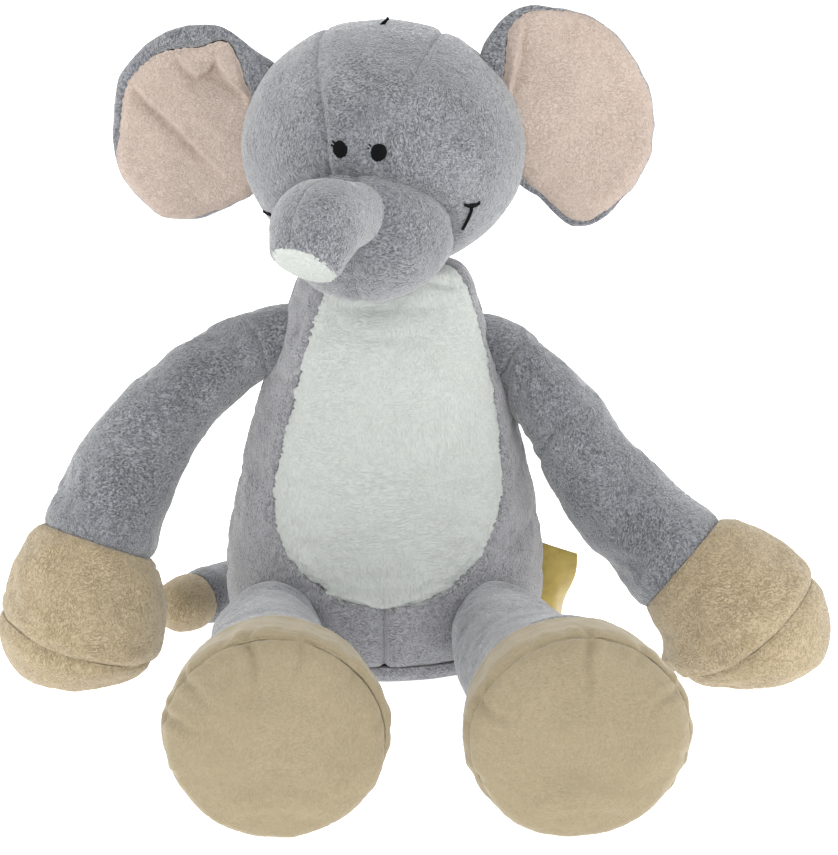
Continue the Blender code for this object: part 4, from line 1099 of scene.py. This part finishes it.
def tip_disc():
    one = np.array([1.0])
    c, (d, a, b) = trunk.centre(one)[0], [x[0] for x in trunk.frame(one)]
    r0 = 14.0
    r = np.linspace(0, 1, 40)
    w = np.linspace(0, 2 * math.pi, 140, endpoint=False)
    dome = 2.2 * (1 - r ** 2.2) - 0.3
    ragged = 1 + 0.035 * noise(np.stack([w * 14, 0 * w, 0 * w], -1), 1.0, 233)[None, :] * smooth(0.75, 1.0, r)[:, None]
    p = c + a * (r0 * r[:, None] * ragged * np.cos(w))[..., None] + b * (r0 * r[:, None] * ragged * np.sin(w))[..., None] + d * dome[:, None, None]
    n = grid_normals(p, lambda q: np.broadcast_to(d, q.shape), closed_u=True)
    n[0] = d
    sv, tall = arc(p, 0)
    h = groove(tall - sv, depth=0.5, bulge=0.1, width=1.2) + pile(p, 229, 0.8)
    ob = surface("trunk_tip_skin", p + n * h[..., None], n, CREAM, closed_u=True, lips=("v1",), poles=("v0",))
    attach(ob, "trunk"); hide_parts("trunk_tip")


tip_disc()

# ------------------------------------------------------------------ ears
EARS = {
    "right": dict(
        edge=[(-45.5, 273.3), (-52.0, 276.4), (-58.8, 279.5), (-60.5, 283.0), (-66.0, 287.6), (-70.5, 291.0), (-76.3, 292.3),
              (-85.5, 291.4), (-95.0, 288.4), (-104.6, 282.4), (-112.5, 276.0), (-117.6, 270.2), (-120.4, 260.7),
              (-121.9, 249.5), (-122.9, 240.0), (-122.4, 230.5), (-121.0, 224.2), (-118.0, 218.8), (-113.1, 212.4),
              (-108.2, 207.4), (-100.6, 202.9), (-93.0, 201.5), (-83.6, 202.8), (-74.2, 206.0), (-67.9, 210.0), (-60.0, 214.0),
              (-54.0, 222.0), (-50.0, 240.0), (-46.0, 258.0)],
        lining=[(-63.5, 269.0), (-66.8, 281.0), (-69.3, 285.0), (-72.8, 284.6), (-81.0, 281.5), (-92.0, 280.2), (-101.5, 277.4),
                (-108.0, 272.8), (-113.6, 267.5), (-116.4, 259.8), (-118.2, 249.4), (-120.0, 240.0), (-120.0, 231.0),
                (-118.6, 225.6), (-116.6, 220.4), (-112.2, 214.4), (-107.6, 209.8), (-100.2, 205.4), (-93.0, 203.8),
                (-83.8, 204.8), (-74.6, 207.8), (-68.0, 211.4), (-60.0, 215.5), (-55.0, 223.0), (-53.0, 240.0), (-57.5, 254.5)],
        centre=(-88.0, 246.0), y=6.0, hinge=((-73.0, 5.0, 220.0), (-60.0, 5.0, 274.0))),
    "left": dict(
        edge=[(42.4, 283.6), (47.5, 290.6), (52.3, 296.2), (58.8, 300.8), (66.9, 302.6), (75.6, 301.4), (84.6, 299.6),
              (91.2, 296.8), (97.4, 292.8), (103.8, 287.4), (109.2, 280.6), (114.0, 273.4), (117.4, 264.8), (119.4, 256.0),
              (120.2, 244.8), (119.8, 237.0), (116.8, 230.2), (111.6, 221.4), (105.4, 213.8), (99.6, 207.4), (92.8, 203.8),
              (86.4, 203.2), (81.6, 204.6), (77.2, 209.4), (70.2, 216.0), (62.0, 221.6), (56.0, 228.0), (52.0, 240.0), (46.0, 262.0)],
        lining=[(54.5, 291.0), (57.6, 295.6), (61.6, 298.6), (67.9, 300.0), (75.4, 299.0), (84.0, 297.2), (90.6, 294.6),
                (96.4, 290.8), (102.0, 285.9), (107.4, 279.0), (111.8, 271.9), (114.9, 263.6), (116.8, 254.8), (117.4, 244.8),
                (117.0, 238.0), (114.0, 231.6), (108.8, 223.4), (103.2, 216.4), (98.0, 210.4), (92.0, 206.8), (86.6, 205.8),
                (82.6, 206.8), (78.0, 211.2), (71.0, 217.6), (64.0, 223.0), (60.0, 229.0), (57.0, 242.0), (54.5, 255.0), (53.0, 264.0),
                (53.8, 278.0)],
        centre=(86.0, 252.0), y=-15.0, hinge=((70.5, -17.0, 222.0), (58.5, -17.0, 280.0))),
}


def polar_outline(points, centre, angles):
    """Distance from the centre to a closed outline in each direction."""
    c = np.array(centre)
    pts = np.array(points, float) - c
    ang = np.unwrap(np.arctan2(pts[:, 1], pts[:, 0]))
    r = np.linalg.norm(pts, axis=1)
    if ang[-1] < ang[0]:
        ang, r = ang[::-1], r[::-1]
    ang = np.concatenate([ang - 2 * math.pi, ang, ang + 2 * math.pi])
    r = np.concatenate([r, r, r])
    order = np.argsort(ang)
    ang, r = ang[order], r[order]
    base = np.interp(angles, ang, r)
    k = np.exp(-np.linspace(-2, 2, 13) ** 2)
    k /= k.sum()
    for _ in range(3):
        wide = np.concatenate([base[-6:], base, base[:6]])
        base = np.convolve(wide, k, mode="valid")
    return base


def line_distance(x, z, points):
    best = np.full(x.shape, 1e9)
    for (x0, z0), (x1, z1) in zip(points, points[1:]):
        dx, dz = x1 - x0, z1 - z0
        t = np.clip(((x - x0) * dx + (z - z0) * dz) / (dx * dx + dz * dz), 0, 1)
        best = np.minimum(best, np.hypot(x - x0 - t * dx, z - z0 - t * dz))
    return best


def ear_form(key, x, z):
    """Depth of the ear's middle surface at x, z."""
    spec = EARS[key]
    s = 1 if key == "left" else -1
    hx = np.interp(z, [spec["hinge"][0][2], spec["hinge"][1][2]], [spec["hinge"][0][0], spec["hinge"][1][0]])
    away = np.maximum(s * (x - hx), 0)
    y = spec["y"] + 0.0016 * away ** 2 + 0.02 * away
    inner = np.clip(-s * (x - hx), 0, 30)
    y = y - 0.10 * inner
    y = y + 1.2 * fbm(np.stack([x, 0 * x, z], -1), 34.0, 2, 501 if s > 0 else 502)
    if key == "right":
        d = (x + 92.0) * 0.70 + (z - 244.0) * 0.71     # across the long diagonal fold
        y = y - 1.6 * np.tanh(d / 16.0)
        y = y - 3.2 * smooth(276.0, 292.0, z)          # the top rolls forward
    else:
        y = y - 1.2 * smooth(290.0, 302.0, z) + 1.5 * np.exp(-((x - 92.0) ** 2 + (z - 250.0) ** 2) / 500.0)
    return y


def step_fold(x, z, line, lip, lip_width, deep, deep_width):
    """Fold in a lining: on the line's left hand the cloth stands up, on its right hand it drops away."""
    best = np.full(x.shape, 1e9)
    signed = np.full(x.shape, 1e9)
    place = np.zeros(x.shape)
    total = sum(math.dist(a, b) for a, b in zip(line, line[1:]))
    run = 0.0
    for (x0, z0), (x1, z1) in zip(line, line[1:]):
        dx, dz = x1 - x0, z1 - z0
        t = np.clip(((x - x0) * dx + (z - z0) * dz) / (dx * dx + dz * dz), 0, 1)
        d = np.hypot(x - x0 - t * dx, z - z0 - t * dz)
        side = np.sign(dx * (z - z0) - dz * (x - x0))
        take = d < best
        signed = np.where(take, d * side, signed)
        place = np.where(take, (run + t * math.hypot(dx, dz)) / total, place)
        best = np.minimum(best, d)
        run += math.hypot(dx, dz)
    ends = np.clip(np.minimum(place, 1 - place) * 3.5, 0, 1) ** 0.6
    near_end = np.exp(-(np.maximum(best - 14.0, 0) / 5.0) ** 2)
    w = np.tanh(signed / 0.9)
    return ends * near_end * (0.5 * (1 + w) * lip * np.exp(-best / lip_width) - 0.5 * (1 - w) * deep * np.exp(-best / deep_width))


def ear(key):
    spec = EARS[key]
    s = 1 if key == "left" else -1
    cx, cz = spec["centre"]
    th = np.linspace(0, 2 * math.pi, 400, endpoint=False)
    ro = polar_outline(spec["edge"], spec["centre"], th)
    rl = np.minimum(polar_outline(spec["lining"], spec["centre"], th), ro - 1.2)
    wobble = 0.5 * noise(np.stack([th * 5.0, 0 * th, 0 * th + 3 * s], -1), 1.0, 515)
    if key == "left":
        bare = smooth(-0.15, 0.35, np.cos(th - 0.3))
    else:
        bare = smooth(0.25, 0.7, np.cos(th + 1.75))
    rl = rl + (ro - 0.9 - rl) * bare
    rl, ro = rl + wobble, ro + wobble
    rl_edge = rl + 0.35 * noise(np.stack([th * 30, 0 * th, 0 * th], -1), 1.0, 505)
    cos, sin = np.cos(th), np.sin(th)
    if key == "right":
        folds = [([(-114.5, 267.0), (-108.3, 259.1), (-102.2, 253.3), (-92.2, 244.2), (-80.8, 232.0), (-71.4, 223.7)], 1.8, 7.0, 4.6, 5.0),
                 ([(-92.5, 278.5), (-89.0, 272.3), (-83.3, 267.6), (-77.9, 270.1), (-73.6, 277.0)], 2.0, 5.0, 4.0, 5.0),
                 ([(-73.2, 279.0), (-74.7, 273.2), (-72.1, 269.2), (-68.7, 264.8), (-63.4, 261.2), (-58.4, 258.0)], 2.6, 4.0, 4.2, 5.0)]
        hollow = (-74.0, 264.5, 9.0, 2.2)
    else:
        folds = [([(55.0, 259.5), (56.1, 266.7), (59.1, 277.7), (60.3, 289.5), (61.4, 295.5)], 2.4, 5.0, 3.8, 4.0),
                 ([(60.0, 233.0), (68.0, 228.5), (77.0, 226.5)], 0.5, 6.0, 0.7, 6.0)]
        hollow = (70.0, 268.0, 12.0, 0.8)

    def thick(r, rad):
        """Half thickness of the ear at radius r of rad."""
        e = np.clip(rad - r, 0, None)
        return 3.9 * (1 - np.exp(-(e / 3.4))) ** 0.6 + 0.25

    # front: lining from the centre to the seam
    k = np.linspace(0, 1, 120) ** 0.85
    r = k[:, None] * rl_edge[None, :]
    x, z = cx + r * cos, cz + r * sin
    y = ear_form(key, x, z)
    half = thick(r, ro[None, :])
    seam = rl[None, :] - r
    h = groove(seam, depth=1.3, bulge=0.25, width=1.8) + 0.6 * fbm(np.stack([x, y, z], -1), 12.0, 2, 506)
    along = th[None, :] * 42.0 + 0 * r
    h = h + puckers(seam, along, 507, pitch=6.0, reach=8.0, size=0.8)
    inside = smooth(0.5, 5.0, rl[None, :] - r)
    for line, lip, lw, deep, dw in folds:
        h = h + inside * step_fold(x, z, line, lip, lw, deep, dw)
    h = h - inside * hollow[3] * np.exp(-((x - hollow[0]) ** 2 + (z - hollow[1]) ** 2) / hollow[2] ** 2)
    h = np.maximum(h, -1.35 * half) + 0.8 * pile(np.stack([x, y, z], -1), 508)
    p = np.stack([x, y - half - h, z], -1)
    n = grid_normals(p, lambda q: np.broadcast_to(np.array([0, -1.0, 0]), q.shape), closed_u=True)
    n[0] = (0, -1, 0)
    lining = surface("ear_lining_" + key + "_skin", p, n, PEACH, closed_u=True, lips=("v1",), poles=("v0",))
    # back: from the seam on the front round the edge to the centre of the back
    steps_f = np.linspace(0, 1, 22)
    rf = rl[None, :] + (ro - rl)[None, :] * np.sin(steps_f * math.pi / 2)[:, None]
    hf = thick(rf, ro[None, :])
    rb = ro[None, :] * (1 - np.linspace(0, 1, 90)[1:] ** 1.15)[:, None]
    hb = thick(rb, ro[None, :])
    rr = np.concatenate([rf, rb]); sign = np.concatenate([-np.ones_like(rf), np.ones_like(rb)]); hh = np.concatenate([hf, hb])
    hh[21] = 0.0
    x, z = cx + rr * cos, cz + rr * sin
    y = ear_form(key, x, z) + sign * hh
    p = np.stack([x, y, z], -1)
    c3 = np.stack([x, ear_form(key, x, z), z], -1)
    n = grid_normals(p, lambda q: q - np.array([cx, spec["y"], cz]), closed_u=True)
    n[-1] = (0, 1, 0)
    seam = rr - rl[None, :]
    h = np.where(sign < 0, groove(seam, depth=1.3, bulge=0.2, width=1.8), 0.0) + pile(p, 60)
    h = h + 0.7 * fbm(p, 16.0, 2, 511)
    back = surface("ear_back_" + key + "_skin", p + n * h[..., None], n, GREY, closed_u=True, lips=("v0",), poles=("v1",))
    for ob, node, sl in ((lining, "ear_lining_" + key, "peach_lining"), (back, "ear_back_" + key, "grey_plush")):
        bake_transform(ob)
        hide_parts(node)


ear("left")
ear("right")


# ------------------------------------------------------------------ embroidery
def on_head(x, z):
    y = -HEAD_R[1] * np.sqrt(np.maximum(0, 1 - (x / HEAD_R[0]) ** 2 - (z / HEAD_R[2]) ** 2))
    return np.stack([x, y, z], -1)


def satin(name, cx, cz, rx, rz, tilt, threads, height, node):
    """Oval patch of satin stitch: rows of thread lying across it, domed."""
    r = np.linspace(0, 1, 46)
    w = np.linspace(0, 2 * math.pi, 160, endpoint=False)
    e = 0.03 * noise(np.stack([w * 9, 0 * w, 0 * w], -1), 1.0, 601)
    lx = rx * r[:, None] * (1 + e) * np.cos(w)
    lz = rz * r[:, None] * (1 + e) * np.sin(w)
    ca, sa = math.cos(tilt), math.sin(tilt)
    x, z = cx + lx * ca - lz * sa, cz + lx * sa + lz * ca
    base = on_head(x, z)
    n = base / HEAD_R ** 2
    n = n / np.linalg.norm(n, axis=-1, keepdims=True)
    ridge = np.abs(np.sin(lz / rz * math.pi * threads / 2 + 0.4 * np.sin(lx * 1.3))) ** 0.7
    dome = np.sqrt(np.clip(1 - r ** 2, 0, 1))[:, None]
    h = 0.25 + height * dome + 0.16 * ridge * smooth(1.0, 0.8, r)[:, None]
    h[-1] = -0.6
    p = to_world(base + n * h[..., None])
    ob = surface(name, p, n @ ROT.T, BLACK, closed_u=True, poles=("v0",))
    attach(ob, "head"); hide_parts(node)
    return ob


def thread_tube(points, radius, name, seed=0, twist=True, nu=16, step=0.25):
    """Thread as a tube along points, in millimetres, with two plies twisted together."""
    pts = np.array(points, float)
    seg = np.linalg.norm(np.diff(pts, axis=0), axis=1)
    s = np.concatenate([[0], np.cumsum(seg)])
    t = np.linspace(0, s[-1], max(8, int(s[-1] / step)))
    c = np.stack([np.interp(t, s, pts[:, k]) for k in range(3)], -1)
    kk = np.ones(5) / 5
    for _ in range(3):
        pad = np.concatenate([np.repeat(c[:1], 2, 0), c, np.repeat(c[-1:], 2, 0)])
        c = np.stack([np.convolve(pad[:, k], kk, mode="valid") for k in range(3)], -1)
    d = np.gradient(c, axis=0)
    d /= np.linalg.norm(d, axis=1, keepdims=True)
    ref = np.array([0.3, -0.9, 0.25])
    a = np.cross(d, ref); a /= np.linalg.norm(a, axis=1, keepdims=True)
    b = np.cross(d, a)
    w = np.linspace(0, 2 * math.pi, nu, endpoint=False)
    twist_a = t[:, None] * 2.6 if twist else 0
    rad = radius * (0.86 + 0.16 * np.abs(np.cos(w[None, :] - twist_a)))
    taper = np.sqrt(np.clip(np.minimum(t, t[-1] - t) / (radius * 0.9), 0.02, 1))[:, None]
    rad = rad * taper
    p = c[:, None] + a[:, None] * (rad * np.cos(w))[..., None] + b[:, None] * (rad * np.sin(w))[..., None]
    return p, c


def join_grids(name, grids, material):
    verts, faces, base = [], [], 0
    for p in grids:
        nv, nu = p.shape[:2]
        idx = base + np.arange(nv * nu).reshape(nv, nu)
        idx = np.concatenate([idx, idx[:, :1]], axis=1)
        quads = np.stack([idx[:-1, :-1], idx[:-1, 1:], idx[1:, 1:], idx[1:, :-1]], -1).reshape(-1, 4)
        verts.append(p.reshape(-1, 3)); faces.append(quads)
        c0, c1 = base + nv * nu, base + nv * nu + 1
        verts.append(np.stack([p[0].mean(axis=0), p[-1].mean(axis=0)]))
        faces.append(np.stack([idx[0, 1:], idx[0, :-1], np.full(nu, c0)], -1))
        faces.append(np.stack([idx[-1, :-1], idx[-1, 1:], np.full(nu, c1)], -1))
        base += nv * nu + 2
    return make_mesh(name, np.concatenate(verts), faces, material)


def head_path(points, rise):
    out = []
    for x, z in points:
        b = on_head(np.array(float(x)), np.array(float(z)))
        n = b / HEAD_R ** 2
        n = n / np.linalg.norm(n)
        out.append(to_world(b + n * rise))
    return out


def lashes(x, z, dx, dz):
    """Short stitch at the corner of an eye."""
    return thread_tube(head_path([(x, z), (x + dx * 0.5, z + dz * 0.5), (x + dx, z + dz)], 0.55), 0.42, "l")[0]


for nm, cx, cz, rx, rz, tilt in (("right", -6.5, 7.3, 3.55, 4.15, 0.25), ("left", 9.4, 6.7, 3.75, 3.9, -0.1)):
    ob = satin("eye_" + nm + "_patch", cx, cz, rx, rz, tilt, 13, 0.9, "eye_" + nm)
    ob = join_grids("eye_" + nm + "_lash", [lashes(cx - rx * 0.6, cz + rz * 0.5, -1.9, 1.7), lashes(cx - rx * 0.8, cz + rz * 0.25, -1.7, 1.1)], BLACK)
    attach(ob, "head")

MOUTH = {
    "left": ([(45.4, -18.6), (45.2, -20.9), (44.0, -23.9), (42.4, -27.0), (40.6, -30.2)],
             [[(42.6, -17.2), (44.0, -18.3), (45.4, -19.0)], [(48.8, -17.2), (47.2, -18.4), (45.4, -19.0)], [(43.4, -18.2), (45.4, -18.0), (47.8, -18.2)]]),
    "right": ([(-42.6, -26.6), (-41.8, -28.6), (-40.6, -31.0), (-39.4, -33.4)],
              [[(-48.2, -26.0), (-45.2, -26.2), (-42.2, -26.6)], [(-44.6, -25.4), (-42.4, -26.4), (-40.6, -26.8)]]),
}
for label in ("left", "right"):
    stem, tops = MOUTH[label]
    grids = []
    for off in (-0.3, 0.3):
        grids.append(thread_tube(head_path([(x + off, z) for x, z in stem], 0.75), 0.38, "m")[0])
        for bar in tops:
            grids.append(thread_tube(head_path([(x, z + off) for x, z in bar], 0.95), 0.42, "m")[0])
    ob = join_grids("mouth_" + label + "_threads", grids, BLACK)
    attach(ob, "head"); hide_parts("mouth_stitch_" + label)

grids = [thread_tube([to_world(np.array(q)) for q in path], 0.62, "t")[0] for path in (
    ((0.6, -9.0, 53.6), (1.6, -9.2, 55.0), (3.2, -9.0, 56.2), (4.8, -9.0, 57.4)),
    ((1.4, -8.2, 53.6), (2.6, -8.4, 55.2), (3.6, -8.2, 56.6), (4.0, -8.0, 57.9)))]
ob = join_grids("thread_stub_ends", grids, BLACK)
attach(ob, "head"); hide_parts("thread_stub")


# ------------------------------------------------------------------ label
def satin_ribbon():
    mat = bpy.data.materials.new("label_ribbon")
    mat.use_nodes = True
    nt = mat.node_tree
    bsdf = nt.nodes["Principled BSDF"]
    co = nt.nodes.new("ShaderNodeTexCoord")
    w1 = nt.nodes.new("ShaderNodeTexWave")
    w1.inputs["Scale"].default_value = 900.0
    w1.bands_direction = "Z"
    w1.inputs["Distortion"].default_value = 0.6
    w2 = nt.nodes.new("ShaderNodeTexNoise")
    w2.inputs["Scale"].default_value = 160.0
    nt.links.new(co.outputs["Object"], w1.inputs["Vector"])
    nt.links.new(co.outputs["Object"], w2.inputs["Vector"])
    mix = nt.nodes.new("ShaderNodeMath"); mix.operation = "ADD"
    half = nt.nodes.new("ShaderNodeMath"); half.operation = "MULTIPLY"; half.inputs[1].default_value = 0.45
    nt.links.new(w1.outputs["Fac"], half.inputs[0])
    nt.links.new(half.outputs[0], mix.inputs[0]); nt.links.new(w2.outputs["Fac"], mix.inputs[1])
    ramp = nt.nodes.new("ShaderNodeValToRGB")
    ramp.color_ramp.elements[0].color = (*srgb(148, 122, 34), 1); ramp.color_ramp.elements[0].position = 0.35
    ramp.color_ramp.elements[1].color = (*srgb(184, 162, 68), 1); ramp.color_ramp.elements[1].position = 0.95
    nt.links.new(mix.outputs[0], ramp.inputs[0])
    nt.links.new(ramp.outputs[0], bsdf.inputs["Base Color"])
    bsdf.inputs["Roughness"].default_value = 0.38
    bsdf.inputs["Sheen Weight"].default_value = 0.3
    b = nt.nodes.new("ShaderNodeBump"); b.inputs["Strength"].default_value = 0.3; b.inputs["Distance"].default_value = 0.0001
    nt.links.new(w1.outputs["Fac"], b.inputs["Height"]); nt.links.new(b.outputs[0], bsdf.inputs["Normal"])
    return mat


def label():
    """Folded ribbon held in the side seam; its lower part turns back."""
    zz = np.linspace(14.5, 52.5, 110)
    depth, gap = 18.0, 0.55
    prof = [(depth * k, -gap) for k in np.linspace(0, 1, 36)]
    prof += [(depth + gap * math.cos(math.radians(a)), gap * math.sin(math.radians(a))) for a in np.linspace(-90, 90, 13)[1:-1]]
    prof += [(depth * k, gap) for k in np.linspace(1, 0, 36)]
    prof = np.array(prof)
    out, off = prof[None, :, 0] + 0 * zz[:, None], prof[None, :, 1] + 0 * zz[:, None]
    up = ((zz - 14.5) / 38.0)[:, None]
    k = out / depth
    turn = np.radians(66.0 - 56.0 * smooth(-0.1, 1.0, up)) * smooth(0.0, 0.7, k)
    turn = turn + 0.10 * np.sin(up * 5.0 + 0.6) * k
    dx = np.cumsum(np.concatenate([0 * turn[:, :1], np.cos(turn[:, 1:]) * np.diff(out, axis=1)], axis=1), axis=1)
    dy = np.cumsum(np.concatenate([0 * turn[:, :1], np.sin(turn[:, 1:]) * np.diff(out, axis=1)], axis=1), axis=1)
    x = 71.5 + dx - off * np.sin(turn)
    y = -5.0 + dy + off * np.cos(turn)
    z = zz[:, None] - k * (2.0 + 4.6 * up ** 1.5)
    p = np.stack([x, y, z], -1)
    n = grid_normals(p, (80.0, -5.0, 33.0))
    ob = surface("label_ribbon", p, n, satin_ribbon())
    m = ob.modifiers.new("ply", "SOLIDIFY")
    m.thickness = 0.0003
    m.offset = -1.0
    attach(ob, "label"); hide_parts("side_label")


label()

# ------------------------------------------------------------------ floor
bpy.ops.mesh.primitive_plane_add(size=6.0, location=(0, 0, -0.0004))
floor = bpy.context.object
floor.name = "floor"
fm = bpy.data.materials.new("floor")
fm.use_nodes = True
fb = fm.node_tree.nodes["Principled BSDF"]
fb.inputs["Base Color"].default_value = (0.93, 0.93, 0.93, 1)
fb.inputs["Roughness"].default_value = 0.9
fb.inputs["Specular IOR Level"].default_value = 0.1
fb.inputs["Emission Color"].default_value = (1, 1, 1, 1)
fb.inputs["Emission Strength"].default_value = 0.9          # a light table
floor.data.materials.append(fm)

bpy.context.view_layer.update()
